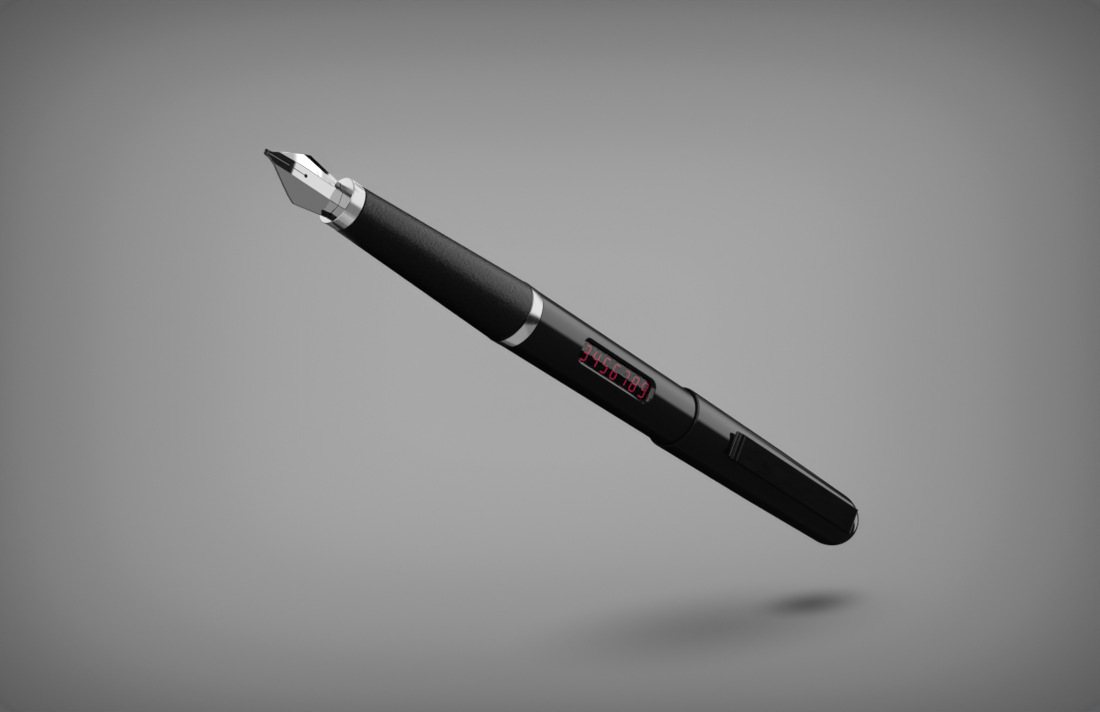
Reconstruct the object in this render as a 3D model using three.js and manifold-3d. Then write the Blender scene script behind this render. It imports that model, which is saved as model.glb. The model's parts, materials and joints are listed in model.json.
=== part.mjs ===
// A fountain pen with a numeric display in its barrel, the cap posted on the rear end. Millimetres.
// The pen lies along X, nib towards -X. The nib's face, the display and the clip face +Z.
// Inside this file x = 0 is the front disc of the chrome collar. The last lines move the whole pen
// so that its origin is the middle of its box, at the height of the cap's lowest line.

import * as THREE from "three";
import { mergeVertices } from "three/addons/utils/BufferGeometryUtils.js";
import Module from "manifold-3d";

const wasm = await Module();
wasm.setup();

// Facets round a large and a small turned piece. Both are multiples of four.
const ROUND = 40;
const SMALL_ROUND = 20;

// Clearances.
const FIT = 0.05; // a piece fixed in its seat
const SLIDE = 0.1; // a piece that slides or turns in another
const FACE = 0.05; // two end faces that meet
const THROUGH = 1; // how far a cutting tool runs past what it cuts
const CLEAR = 7; // a height or depth outside the barrel, for tools that cut right through

// Section: collar, grip and ring.
const COLLAR_LENGTH = 2.5;
const COLLAR_RADIUS = 4.16;
const COLLAR_BEVEL = 0.15;
const GRIP_LENGTH = 37.7;
const GRIP_REAR_RADIUS = 5.89;
const RING_LENGTH = 2.65;
const RING_FRONT_RADIUS = 6.0;
const RING_REAR_RADIUS = 5.88;
const RING_BEVEL = 0.2;
const THREAD_RADIUS = 4.5;
const THREAD_LENGTH = 7;
const THREAD_SEAT_LENGTH = 6.5;
const THREAD_WALL = 1.1;

// Nib. Each station gives half widths and heights of the flat facet, the crease and the edge.
const NIB_SHEET = 0.38;
const NIB_TAIL = 2.3;
const NIB_WINGS = 6.9; // widest place, forward of the collar's disc
const NIB_WAIST = 8.25;
const NIB_CREST = 9.9;
const NIB_SHANK = 13.15;
const NIB_POINT = 14.3;
const NIB_TIP = 15.2;
const NIB_ROOT_HALF = 3.15;
const NIB_WING_HALF = 4.37;
const NIB_WAIST_HALF = 3.8;
const NIB_SHANK_HALF = 1.12;
const NIB_ROLL = THREE.MathUtils.degToRad(-10); // the section's stop leaves the nib turned this far
const SLIT_WIDTH = 0.12;
const BREATHER_RADIUS = 0.31;
const BREATHER_FROM_COLLAR = 7.44;
const TIPPING_RADIUS = 0.3;
const TIPPING_SPREAD = 0.18;

// Feed and its housing.
const FEED_RADIUS = 2.3;
const FEED_FRONT = 9.9;
const FEED_LENGTH_INSIDE = 14;
const FEED_NOSE_HEIGHT = 0.2;
const FEED_NOSE_ROUND = 0.15;
const FIN_PITCH = 0.75;
const FIN_GAP = 0.32;
const FIN_COUNT = 10;
const FIN_REAR = 1.0;
const FIN_ROOT = 0.75;
const HOUSING_WALL = 1.05;
const HOUSING_LENGTH = 16;
const NIPPLE_RADIUS = 1.25;
const NIPPLE_LENGTH = 5;
const NIPPLE_BORE = 0.5;

// Converter.
const CONVERTER_RADIUS = 2.75;
const CONVERTER_WALL = 0.5;
const MOUTH_LENGTH = 7;
const TUBE_LENGTH = 24;
const TUBE_STEP = 0.4;
const CONVERTER_HOUSING_LENGTH = 16;
const CONVERTER_HOUSING_RADIUS = 2.88;
const TUBE_OVERLAP = 1.5;
const PISTON_TRAVEL = 14;
const PISTON_STAND_OFF = 0.5;
const SEAL_LENGTH = 3;
const SEAL_LIP_LENGTH = 0.8;
const SEAL_LIP_SLOPE = 0.3;
const SEAL_WAIST_DEPTH = 0.35;
const STEM_RADIUS = 1.5;
const STEM_BORE = 1.0;
const STEM_FLOOR = 1;
const STEM_SPIGOT_RADIUS = 0.6;
const STEM_SPIGOT_LENGTH = 1.1;
const KNOB_LENGTH = 8;
const KNOB_RADIUS = 2.7;
const KNOB_NECK_LENGTH = 0.8;
const KNOB_ROUND = 0.5;

// Barrel.
const BARREL_RADIUS = 5.86;
const BARREL_WALL = 1.0;
const BARREL_TAIL_RADIUS = 5.15;
const BARREL_TAPER_LENGTH = 11;
const BARREL_TAIL_WALL = 0.7;
const BARREL_LENGTH = 69;
const INSERT_WALL = 0.6;
const INSERT_LENGTH = 8;

// Display window in the barrel's upper side.
const WINDOW_CENTRE = 64.7;
const WINDOW_LENGTH = 20.6;
const WINDOW_WIDTH = 5.1;
const WINDOW_CORNER = 1.6;
const BEVEL_FLOOR = 4.95;
const BEVEL_SIDE = 0.5;
const BEVEL_END = 0.5;
const BEVEL_REACH = 1.5; // how far the cutting tool runs on, in bevel widths
const GLASS_TOP = 4.5;
const GLASS_THICKNESS = 0.45;
const GLASS_LEDGE = 0.25;
const PANEL_THICKNESS = 0.45;
const PANEL_CORNER = 0.3;

// Electronics behind the converter.
const RAIL_WIDTH = 0.65;
const RAIL_LEDGE = 0.5;
const RAIL_FLOOR = 0.42;
const RAIL_LIP = 0.15;
const BOARD_WIDTH = 6.2;
const BOARD_THICKNESS = 0.8;
const BOARD_TOP = 0.6;
const CHIP_SIZE = 3.6;
const CHIP_MARGIN = 0.8;
const CHIP_HEIGHT = 0.9;
const TRAY_FLOOR = 0.8;
const TRAY_GAP = 1.5; // behind the knob at its rear stop
const FLEX_WIDTH = 3.2;
const FLEX_THICKNESS = 0.2;
const FLEX_LEAD = 1.2;
const FLEX_RUN = 1.2;
const FLEX_LANDING = 0.9;
const CELL_RADIUS = 3.95;
const CELL_LENGTH = 3.6;
const CELL_RIM = 0.5;
const CONTACT_THICKNESS = 0.3;
const CONTACT_RADIUS = 3.0;
const SPRING_WIRE = 0.4;
const SPRING_LENGTH = 5.2;
const SPRING_TURNS = 3;
const SPRING_FRONT_RADIUS = 1.6;
const SPRING_REAR_RADIUS = 2.8;
const PLUG_FLANGE = 1.4;
const PLUG_SPIGOT = 6.4;
const PLUG_ROUND = 0.5;
const PLUG_SLOT_WIDTH = 0.9;
const PLUG_SLOT_DEPTH = 0.8;

// Cap.
const CAP_COVER = 24.75; // length of the barrel inside the posted cap
const CAP_LENGTH = 61.5;
const CAP_RIM_RADIUS = 6.42;
const CAP_MIDDLE_DEPTH = 30.8;
const CAP_MIDDLE_RADIUS = 6.26;
const CAP_SHOULDER_RADIUS = 5.9;
const CAP_DOME_LENGTH = 6.2;
const CAP_END_RADIUS = 1.3;
const CAP_RIM_ROUND = 0.4;
const CAP_WALL = 0.42;
const CAP_LIP_LENGTH = 1.2;
const CAP_POST_DEPTH = 29;
const CAP_END_WALL = 4.45;
const INNER_CAP_RADIUS = 5.0;
const INNER_CAP_WALL = 0.6;
const INNER_CAP_END_WALL = 0.7;
const INNER_CAP_STRAIGHT = 7;
const INNER_CAP_LENGTH = 16.5;
const INNER_CAP_END_RADIUS = 1.7;
const CLUTCH_DEPTH = 13;
const CLUTCH_LENGTH = 4;
const CLUTCH_WALL = 0.3;
const CLUTCH_SLOT = 0.8;

// Clip.
const CLIP_WIDTH = 5.6;
const CLIP_THICKNESS = 0.5;
const CLIP_TOP = 7.2;
const CLIP_LENGTH = 44;
const CLIP_BEND = 1.3;
const CLIP_LIP = 1.5;
const CLIP_TAIL_DROP = 0.55;
const CLIP_CORNER = 0.7;
const CLIP_PIN_FROM_CAP_END = 7.7;
const CLIP_PIN_FROM_TAIL = 1.4;
const CLIP_PIN_Z = 4.6;
const CLIP_PIN_RADIUS = 0.45;
const CLIP_PIN_LENGTH = 5.4;
const CLIP_LUG_RADIUS = 1.05;
const CLIP_LUG_WIDTH = 1.95;
const CLIP_SLOT_WIDTH = 3.2;
const CLIP_SLOT_MARGIN = 0.35;
const CLIP_SPRING_WIRE = 0.22;
const CLIP_SPRING_TURNS = 3;

// Stations that follow from the sizes above.
const gripRear = COLLAR_LENGTH + GRIP_LENGTH;
const ringFront = gripRear + FACE;
const ringRear = ringFront + RING_LENGTH;
const barrelFront = ringRear + FACE;
const barrelRear = barrelFront + BARREL_LENGTH;
const capRim = barrelRear - CAP_COVER;
const capMiddle = capRim + CAP_MIDDLE_DEPTH;
const capEnd = capRim + CAP_LENGTH;
const capShoulder = capEnd - CAP_DOME_LENGTH;
const clipPinX = capEnd - CLIP_PIN_FROM_CAP_END;
const clipTailEnd = clipPinX + CLIP_PIN_FROM_TAIL;
const clipFreeEnd = clipTailEnd - CLIP_LENGTH;

// Merges a geometry's shared vertices and drops the faces that collapse on an axis.
function closed(geometry) {
  const bare = geometry.clone();
  bare.deleteAttribute("normal");
  bare.deleteAttribute("uv");
  const merged = mergeVertices(bare, 1e-4);
  const index = merged.index.array;
  const kept = [];
  for (let i = 0; i < index.length; i += 3) {
    const [a, b, c] = index.slice(i, i + 3);
    if (a !== b && b !== c && c !== a) kept.push(a, b, c);
  }
  merged.setIndex(kept);
  return merged;
}

function solid(geometry) {
  const merged = closed(geometry);
  const mesh = new wasm.Mesh({
    numProp: 3,
    vertProperties: new Float32Array(merged.attributes.position.array),
    triVerts: new Uint32Array(merged.index.array),
  });
  return new wasm.Manifold(mesh);
}

function geometryOf(manifold) {
  const mesh = manifold.getMesh();
  const geometry = new THREE.BufferGeometry();
  geometry.setAttribute("position", new THREE.BufferAttribute(new Float32Array(mesh.vertProperties), 3));
  geometry.setIndex(new THREE.BufferAttribute(new Uint32Array(mesh.triVerts), 1));
  geometry.computeVertexNormals();
  return geometry;
}

function cut(body, ...tools) {
  return geometryOf(tools.reduce((left, tool) => left.subtract(solid(tool)), solid(body)));
}

function join(...bodies) {
  return geometryOf(bodies.map(solid).reduce((left, right) => left.add(right)));
}

function common(first, second) {
  return geometryOf(solid(first).intersect(solid(second)));
}

// A body turned round the pen's axis. The profile is [x, radius] points: out along the outer
// surface towards +X, back along the bore.
function turned(profile, facets = ROUND) {
  const points = profile.map(([x, radius]) => new THREE.Vector2(radius, x));
  const onAxis = points[0].x === 0 && points[points.length - 1].x === 0;
  if (!onAxis) points.push(points[0].clone());
  return closed(new THREE.LatheGeometry(points, facets).rotateZ(-Math.PI / 2));
}

function rod(xFrom, xTo, radius, facets = SMALL_ROUND) {
  return turned([[xFrom, 0], [xFrom, radius], [xTo, radius], [xTo, 0]], facets);
}

function tube(xFrom, xTo, radius, bore, facets = ROUND) {
  return turned([[xFrom, radius], [xTo, radius], [xTo, bore], [xFrom, bore]], facets);
}

function block(xFrom, xTo, yFrom, yTo, zFrom, zTo) {
  const box = new THREE.BoxGeometry(xTo - xFrom, yTo - yFrom, zTo - zFrom);
  return box.translate((xFrom + xTo) / 2, (yFrom + yTo) / 2, (zFrom + zTo) / 2);
}

// A rod across the pen, along Y.
function crossRod(x, z, yFrom, yTo, radius, facets = SMALL_ROUND) {
  const body = new THREE.CylinderGeometry(radius, radius, yTo - yFrom, facets);
  return body.translate(x, (yFrom + yTo) / 2, z);
}

// A side view of [x, z] points, extruded along Y.
function sideSlab(points, yFrom, yTo) {
  const shape = new THREE.Shape(points.map(([x, z]) => new THREE.Vector2(x, z)));
  const slab = new THREE.ExtrudeGeometry(shape, { depth: yTo - yFrom, bevelEnabled: false });
  return slab.rotateX(Math.PI / 2).translate(0, yTo, 0);
}

// An end view of [y, z] points, extruded along X.
function endSlab(points, xFrom, xTo) {
  const shape = new THREE.Shape(points.map(([y, z]) => new THREE.Vector2(y, z)));
  const slab = new THREE.ExtrudeGeometry(shape, { depth: xTo - xFrom, bevelEnabled: false });
  const turn = new THREE.Matrix4().makeBasis(
    new THREE.Vector3(0, 1, 0),
    new THREE.Vector3(0, 0, 1),
    new THREE.Vector3(1, 0, 0),
  );
  return slab.applyMatrix4(turn).translate(xFrom, 0, 0);
}

// Points of a rounded rectangle about the origin, in its own plane.
function roundedRectangle(length, width, corner, steps = 4) {
  const points = [];
  const centres = [[1, 1], [-1, 1], [-1, -1], [1, -1]];
  centres.forEach(([sx, sy], quarter) => {
    for (let i = 0; i <= steps; i++) {
      const angle = ((quarter + i / steps) * Math.PI) / 2;
      points.push([
        sx * (length / 2 - corner) + corner * Math.cos(angle),
        sy * (width / 2 - corner) + corner * Math.sin(angle),
      ]);
    }
  });
  return points;
}

// A solid between rings of equal point counts, the first and last ring closed by flat ends.
function loft(rings) {
  const count = rings[0].length;
  const positions = rings.flat().flatMap((point) => [point.x, point.y, point.z]);
  const faces = [];
  for (let r = 0; r + 1 < rings.length; r++) {
    for (let i = 0; i < count; i++) {
      const a = r * count + i;
      const b = r * count + ((i + 1) % count);
      faces.push(a, b, b + count, a, b + count, a + count);
    }
  }
  const flat = (ring) => ring.map((point) => new THREE.Vector2(point.y, point.z));
  const last = (rings.length - 1) * count;
  for (const [a, b, c] of THREE.ShapeUtils.triangulateShape(flat(rings[0]), [])) {
    faces.push(c, b, a);
  }
  for (const [a, b, c] of THREE.ShapeUtils.triangulateShape(flat(rings[rings.length - 1]), [])) {
    faces.push(last + a, last + b, last + c);
  }
  const geometry = new THREE.BufferGeometry();
  geometry.setAttribute("position", new THREE.Float32BufferAttribute(positions, 3));
  geometry.setIndex(faces);
  return geometry;
}

// A wire wound round an axis through the origin, along +X, its radius changing evenly.
function coil(length, radiusFrom, radiusTo, turns, wire, sides = 6, stepsPerTurn = 14) {
  class Helix extends THREE.Curve {
    getPoint(t, target = new THREE.Vector3()) {
      const angle = 2 * Math.PI * turns * t;
      const radius = radiusFrom + (radiusTo - radiusFrom) * t;
      return target.set(length * t, radius * Math.cos(angle), radius * Math.sin(angle));
    }
  }
  const section = new THREE.Shape();
  for (let i = 0; i < sides; i++) {
    const angle = (2 * Math.PI * i) / sides;
    const x = (wire / 2) * Math.cos(angle);
    const y = (wire / 2) * Math.sin(angle);
    if (i === 0) section.moveTo(x, y);
    else section.lineTo(x, y);
  }
  return new THREE.ExtrudeGeometry(section, {
    steps: Math.round(turns * stepsPerTurn),
    extrudePath: new Helix(),
    bevelEnabled: false,
  });
}

// Radius of a conical part at x, between two ends.
function between(x, xFrom, from, xTo, to) {
  return from + ((to - from) * (x - xFrom)) / (xTo - xFrom);
}

const surfaces = {
  steel: { color: 0xc9cacc, roughness: 0.16, metalness: 1 },
  chrome: { color: 0xd6d7d8, roughness: 0.08, metalness: 1 },
  blackGloss: { color: 0x0a0a0b, roughness: 0.14, metalness: 0 },
  blackGrip: { color: 0x121213, roughness: 0.55, metalness: 0 },
  blackPlastic: { color: 0x1a1a1c, roughness: 0.45, metalness: 0 },
  clearPlastic: { color: 0xc4cbd0, roughness: 0.1, metalness: 0 },
  rubber: { color: 0x26262a, roughness: 0.85, metalness: 0 },
  glass: { color: 0x1a1e1d, roughness: 0.03, metalness: 0 },
  display: { color: 0x16080c, roughness: 0.3, metalness: 0 },
  board: { color: 0x1b5b3a, roughness: 0.5, metalness: 0 },
  copper: { color: 0xb9782e, roughness: 0.4, metalness: 0.6 },
};

const parts = new THREE.Group();

function add(name, geometry, surface) {
  const mesh = new THREE.Mesh(geometry, new THREE.MeshStandardMaterial(surfaces[surface]));
  mesh.name = name;
  parts.add(mesh);
}

// Nib stations, measured forward of the collar's disc: half width and height of the flat facet,
// of the crease beside it and of the sheet's edge.
const nibStations = [
  { x: NIB_TAIL, facet: [1.19, 1.16], crease: [2.21, -0.11], edge: [NIB_ROOT_HALF, -0.44] },
  { x: 0, facet: [1.19, 1.16], crease: [2.21, -0.11], edge: [NIB_ROOT_HALF, -0.44] },
  { x: -NIB_WINGS, facet: [1.17, 1.42], crease: [3.5, -0.02], edge: [NIB_WING_HALF, -0.24] },
  { x: -NIB_WAIST, facet: [1.15, 1.45], crease: [3.72, 0.03], edge: [NIB_WAIST_HALF, 0] },
  { x: -NIB_CREST, facet: [1.12, 1.47], crease: [2.86, 0.43], edge: [2.93, 0.4] },
  { x: -NIB_SHANK, facet: [1.04, 1.26], crease: [1.08, 1.24], edge: [NIB_SHANK_HALF, 1.22] },
  { x: -NIB_POINT, facet: [0.46, 1.2], crease: [0.5, 1.18], edge: [0.54, 1.16] },
  { x: -NIB_TIP, facet: [0.34, 1.18], crease: [0.38, 1.16], edge: [0.42, 1.14] },
];

// One half of the nib's section as [y, z] points, from the edge in to the facet.
function nibHalf(station) {
  return [station.edge, station.crease, station.facet];
}

function ringOfNib(station, drop, floorDrop) {
  const half = nibHalf(station);
  const mirrored = half.map(([y, z]) => [-y, z]).reverse();
  const upper = [...half, ...mirrored];
  const lower = [...upper].reverse();
  return [
    ...upper.map(([y, z]) => new THREE.Vector3(station.x, y, z - drop)),
    ...lower.map(([y, z]) => new THREE.Vector3(station.x, y, z - floorDrop)),
  ];
}

// The space above the nib's underside, which the feed stays out of.
function aboveFeed() {
  const gap = NIB_SHEET + FIT;
  const rings = nibStations.map((station, i) => {
    const x = i === 0 ? HOUSING_LENGTH : station.x;
    return ringOfNib({ ...station, x }, -CLEAR, gap);
  });
  return loft(rings.reverse());
}

function makeNib() {
  const sheet = loft(nibStations.map((station) => ringOfNib(station, 0, NIB_SHEET)).reverse());
  const tippingZ = nibStations[nibStations.length - 1].facet[1] - NIB_SHEET / 2;
  const tipping = [-1, 1].map((side) => {
    const ball = new THREE.SphereGeometry(TIPPING_RADIUS, 10, 8);
    return ball.translate(-NIB_TIP + TIPPING_RADIUS / 3, side * (SLIT_WIDTH / 2 + TIPPING_SPREAD), tippingZ);
  });
  const slitHalf = SLIT_WIDTH / 2;
  const slit = block(-NIB_TIP - THROUGH, -BREATHER_FROM_COLLAR, -slitHalf, slitHalf, -CLEAR, CLEAR);
  const breather = new THREE.CylinderGeometry(BREATHER_RADIUS, BREATHER_RADIUS, 2 * CLEAR, 16);
  breather.rotateX(Math.PI / 2).translate(-BREATHER_FROM_COLLAR, 0, 0);
  return cut(join(sheet, ...tipping), slit, breather).rotateX(NIB_ROLL);
}

function makeFeed() {
  const body = rod(-FEED_FRONT, FEED_LENGTH_INSIDE, FEED_RADIUS);
  const below = sideSlab(
    [
      [-FEED_FRONT - THROUGH, -FEED_NOSE_HEIGHT + FEED_NOSE_ROUND],
      [-FEED_FRONT - THROUGH, -FEED_RADIUS - THROUGH],
      [-FIN_REAR, -FEED_RADIUS - THROUGH],
      [-FIN_REAR, -FEED_RADIUS],
      [-FEED_FRONT, -FEED_NOSE_HEIGHT],
    ],
    -FEED_RADIUS - THROUGH,
    FEED_RADIUS + THROUGH,
  );
  const gaps = [];
  for (let i = 0; i < FIN_COUNT; i++) {
    const rear = -FIN_REAR - i * FIN_PITCH;
    const width = FEED_RADIUS + THROUGH;
    gaps.push(block(rear - FIN_GAP, rear, -width, width, -FEED_RADIUS - THROUGH, -FIN_ROOT));
  }
  return cut(body, aboveFeed(), below, ...gaps).rotateX(NIB_ROLL);
}

// The collar's opening has the outline of the nib with the feed under it.
function makeCollar() {
  const body = turned([
    [0, 0],
    [0, COLLAR_RADIUS - COLLAR_BEVEL],
    [COLLAR_BEVEL, COLLAR_RADIUS],
    [COLLAR_LENGTH, COLLAR_RADIUS],
    [COLLAR_LENGTH, 0],
  ]);
  const half = nibHalf(nibStations[1]);
  const edge = half[0];
  const feedOpening = FEED_RADIUS + FIT;
  const upper = [
    [edge[0] + FIT, edge[1] - NIB_SHEET - FIT],
    [edge[0] + FIT, edge[1] + FIT],
    [half[1][0] + FIT, half[1][1] + FIT],
    [half[2][0] + FIT, half[2][1] + FIT],
  ];
  const outline = [...upper, ...upper.map(([y, z]) => [-y, z]).reverse()];
  const nibOpening = endSlab(outline, -THROUGH, COLLAR_LENGTH + THROUGH);
  const lowerHalf = block(-THROUGH, COLLAR_LENGTH + THROUGH, -CLEAR, CLEAR, -CLEAR, edge[1] - NIB_SHEET);
  const feedHole = common(rod(-THROUGH, COLLAR_LENGTH + THROUGH, feedOpening), lowerHalf);
  return cut(body, nibOpening, feedHole).rotateX(NIB_ROLL);
}

const housingRadius = FEED_RADIUS + FIT + HOUSING_WALL;
const housingFront = COLLAR_LENGTH + FACE;
const housingRear = housingFront + HOUSING_LENGTH;
const nippleEnd = housingRear + NIPPLE_LENGTH;

function makeFeedHousing() {
  return turned([
    [housingFront, housingRadius],
    [housingRear, housingRadius],
    [housingRear, NIPPLE_RADIUS],
    [nippleEnd, NIPPLE_RADIUS],
    [nippleEnd, NIPPLE_BORE],
    [housingRear - HOUSING_WALL, NIPPLE_BORE],
    [housingRear - HOUSING_WALL, FEED_RADIUS + FIT],
    [housingFront, FEED_RADIUS + FIT],
  ]);
}

const threadSeatRadius = THREAD_RADIUS + 0.1;
const threadFront = gripRear - THREAD_SEAT_LENGTH;
const threadRear = ringRear + THREAD_LENGTH;
const threadBore = THREAD_RADIUS - THREAD_WALL;

function makeGrip() {
  const front = COLLAR_LENGTH + FACE;
  const housingBore = housingRadius + FIT;
  const chamberRadius = threadSeatRadius - 0.4;
  return turned([
    [front, COLLAR_RADIUS],
    [gripRear, GRIP_REAR_RADIUS],
    [gripRear, threadSeatRadius + FIT],
    [threadFront - FACE, threadSeatRadius + FIT],
    [threadFront - FACE, chamberRadius],
    [housingRear + 1, chamberRadius],
    [housingRear, housingBore],
    [front, housingBore],
  ]);
}

function makeMidRing() {
  return turned([
    [ringFront, RING_FRONT_RADIUS - RING_BEVEL],
    [ringFront + RING_BEVEL, RING_FRONT_RADIUS],
    [ringRear, RING_REAR_RADIUS],
    [ringRear, threadSeatRadius + FIT],
    [ringFront, threadSeatRadius + FIT],
  ]);
}

function makeSectionThread() {
  return turned([
    [threadFront, threadSeatRadius],
    [ringRear, threadSeatRadius],
    [ringRear, THREAD_RADIUS],
    [threadRear, THREAD_RADIUS],
    [threadRear, threadBore],
    [threadFront, threadBore],
  ]);
}

add("nib", makeNib(), "steel");
add("feed", makeFeed(), "blackPlastic");
add("front_collar", makeCollar(), "chrome");
add("feed_housing", makeFeedHousing(), "blackPlastic");
add("grip_section", makeGrip(), "blackGrip");
add("mid_ring", makeMidRing(), "chrome");
add("section_thread", makeSectionThread(), "blackPlastic");

// Converter, pushed on the nipple.
const mouthFront = housingRear + FACE;
const mouthRear = mouthFront + MOUTH_LENGTH;
const tubeFront = mouthRear + FACE;
const tubeRear = tubeFront + TUBE_LENGTH;
const tubeBore = CONVERTER_RADIUS - CONVERTER_WALL;
const converterHousingFront = tubeRear - TUBE_OVERLAP;
const converterHousingRear = converterHousingFront + CONVERTER_HOUSING_LENGTH;
const neckRadius = tubeBore;

function makeConverterMouth() {
  return turned([
    [mouthFront, CONVERTER_RADIUS],
    [tubeFront, CONVERTER_RADIUS],
    [tubeFront, neckRadius - FIT],
    [tubeFront + TUBE_OVERLAP, neckRadius - FIT],
    [tubeFront + TUBE_OVERLAP, NIPPLE_BORE],
    [nippleEnd + FACE, NIPPLE_BORE],
    [nippleEnd + FACE, NIPPLE_RADIUS + FIT],
    [mouthFront, NIPPLE_RADIUS + FIT],
  ], SMALL_ROUND);
}

// The housing grips the tube's end, which is turned down to fit inside it.
const tubeStepRadius = CONVERTER_HOUSING_RADIUS - TUBE_STEP;

function makeConverterTube() {
  return turned([
    [tubeFront + FACE, CONVERTER_RADIUS],
    [converterHousingFront - FACE, CONVERTER_RADIUS],
    [converterHousingFront - FACE, tubeStepRadius],
    [tubeRear, tubeStepRadius],
    [tubeRear, tubeBore],
    [tubeFront + FACE, tubeBore],
  ], SMALL_ROUND);
}

function makeConverterHousing() {
  return turned([
    [converterHousingFront, CONVERTER_HOUSING_RADIUS],
    [converterHousingRear, CONVERTER_HOUSING_RADIUS],
    [converterHousingRear, STEM_RADIUS + SLIDE],
    [tubeRear + FACE, STEM_RADIUS + SLIDE],
    [tubeRear + FACE, tubeStepRadius + FIT],
    [converterHousingFront, tubeStepRadius + FIT],
  ], SMALL_ROUND);
}

const sealFront = tubeFront + TUBE_OVERLAP + PISTON_STAND_OFF;
const stemFront = sealFront + SEAL_LENGTH;
const stemFloor = stemFront + STEM_FLOOR;
const stemRear = converterHousingRear - PISTON_TRAVEL;
const spindleFront = stemFloor + PISTON_TRAVEL + SLIDE;
const knobFront = converterHousingRear + SLIDE;
const knobRear = knobFront + KNOB_LENGTH;

function makePistonSeal() {
  const lip = tubeBore - SLIDE / 2;
  const waist = lip - SEAL_WAIST_DEPTH;
  const slopeEnd = SEAL_LIP_LENGTH + SEAL_LIP_SLOPE;
  const pocket = stemFront - STEM_SPIGOT_LENGTH - FIT;
  return turned([
    [sealFront, 0],
    [sealFront, lip],
    [sealFront + SEAL_LIP_LENGTH, lip],
    [sealFront + slopeEnd, waist],
    [stemFront - slopeEnd, waist],
    [stemFront - SEAL_LIP_LENGTH, lip],
    [stemFront, lip],
    [stemFront, STEM_SPIGOT_RADIUS + FIT],
    [pocket, STEM_SPIGOT_RADIUS + FIT],
    [pocket, 0],
  ], SMALL_ROUND);
}

function makePistonStem() {
  const spigotFront = stemFront - STEM_SPIGOT_LENGTH;
  return turned([
    [spigotFront, 0],
    [spigotFront, STEM_SPIGOT_RADIUS],
    [stemFront + FACE, STEM_SPIGOT_RADIUS],
    [stemFront + FACE, STEM_RADIUS],
    [stemRear, STEM_RADIUS],
    [stemRear, STEM_BORE],
    [stemFloor, STEM_BORE],
    [stemFloor, 0],
  ], SMALL_ROUND);
}

// The knob carries the spindle that runs inside the piston's stem.
function makeKnob() {
  const spindleRadius = STEM_BORE - SLIDE;
  const neckRear = knobFront + KNOB_NECK_LENGTH;
  return turned([
    [spindleFront, 0],
    [spindleFront, spindleRadius],
    [knobFront, spindleRadius],
    [knobFront, KNOB_RADIUS - KNOB_ROUND],
    [neckRear, KNOB_RADIUS - KNOB_ROUND],
    [neckRear, KNOB_RADIUS],
    [knobRear - KNOB_ROUND, KNOB_RADIUS],
    [knobRear, KNOB_RADIUS - KNOB_ROUND],
    [knobRear, 0],
  ], SMALL_ROUND);
}

add("converter_mouth", makeConverterMouth(), "blackPlastic");
add("converter_tube", makeConverterTube(), "clearPlastic");
add("converter_housing", makeConverterHousing(), "chrome");
add("piston_seal", makePistonSeal(), "rubber");
add("piston_stem", makePistonStem(), "blackPlastic");
add("converter_knob", makeKnob(), "blackPlastic");

// Barrel. It is parallel up to the cap's rim and tapers under the cap.
const taperFront = capRim + CAP_LIP_LENGTH;
const taperRear = taperFront + BARREL_TAPER_LENGTH;
const barrelBore = BARREL_RADIUS - BARREL_WALL;
const tailBore = BARREL_TAIL_RADIUS - BARREL_TAIL_WALL;
const insertOuter = THREAD_RADIUS + SLIDE + INSERT_WALL;

function outlineAt(length, width, corner, zFrom, zTo) {
  const points = roundedRectangle(length, width, corner);
  const shape = new THREE.Shape(points.map(([x, y]) => new THREE.Vector2(x, y)));
  const slab = new THREE.ExtrudeGeometry(shape, { depth: zTo - zFrom, bevelEnabled: false });
  return slab.translate(WINDOW_CENTRE, 0, zFrom);
}

const aboveBarrel = BARREL_RADIUS + THROUGH;
const glassFloor = GLASS_TOP - GLASS_THICKNESS;
const bezelFloor = glassFloor - FIT;

function makeBarrel() {
  const body = turned([
    [barrelFront, BARREL_RADIUS],
    [taperFront, BARREL_RADIUS],
    [taperRear, BARREL_TAIL_RADIUS],
    [barrelRear - PLUG_FLANGE - FACE, BARREL_TAIL_RADIUS],
    [barrelRear - PLUG_FLANGE - FACE, tailBore],
    [taperRear, tailBore],
    [taperFront, barrelBore],
    [barrelFront + INSERT_LENGTH + FACE, barrelBore],
    [barrelFront + INSERT_LENGTH + FACE, insertOuter + FIT],
    [barrelFront, insertOuter + FIT],
  ]);
  const opening = outlineAt(
    WINDOW_LENGTH + 2 * FIT, WINDOW_WIDTH + 2 * FIT, WINDOW_CORNER + FIT, bezelFloor - THROUGH, aboveBarrel,
  );
  return cut(body, opening);
}

function makeInsert() {
  return tube(barrelFront + FACE, barrelFront + INSERT_LENGTH, insertOuter, THREAD_RADIUS + SLIDE);
}

const bevelInnerLength = WINDOW_LENGTH - 2 * BEVEL_END;
const bevelInnerWidth = WINDOW_WIDTH - 2 * BEVEL_SIDE;
const bevelInnerCorner = WINDOW_CORNER - BEVEL_SIDE;
const glassLength = bevelInnerLength + 2 * GLASS_LEDGE;
const glassWidth = bevelInnerWidth + 2 * GLASS_LEDGE;

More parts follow.
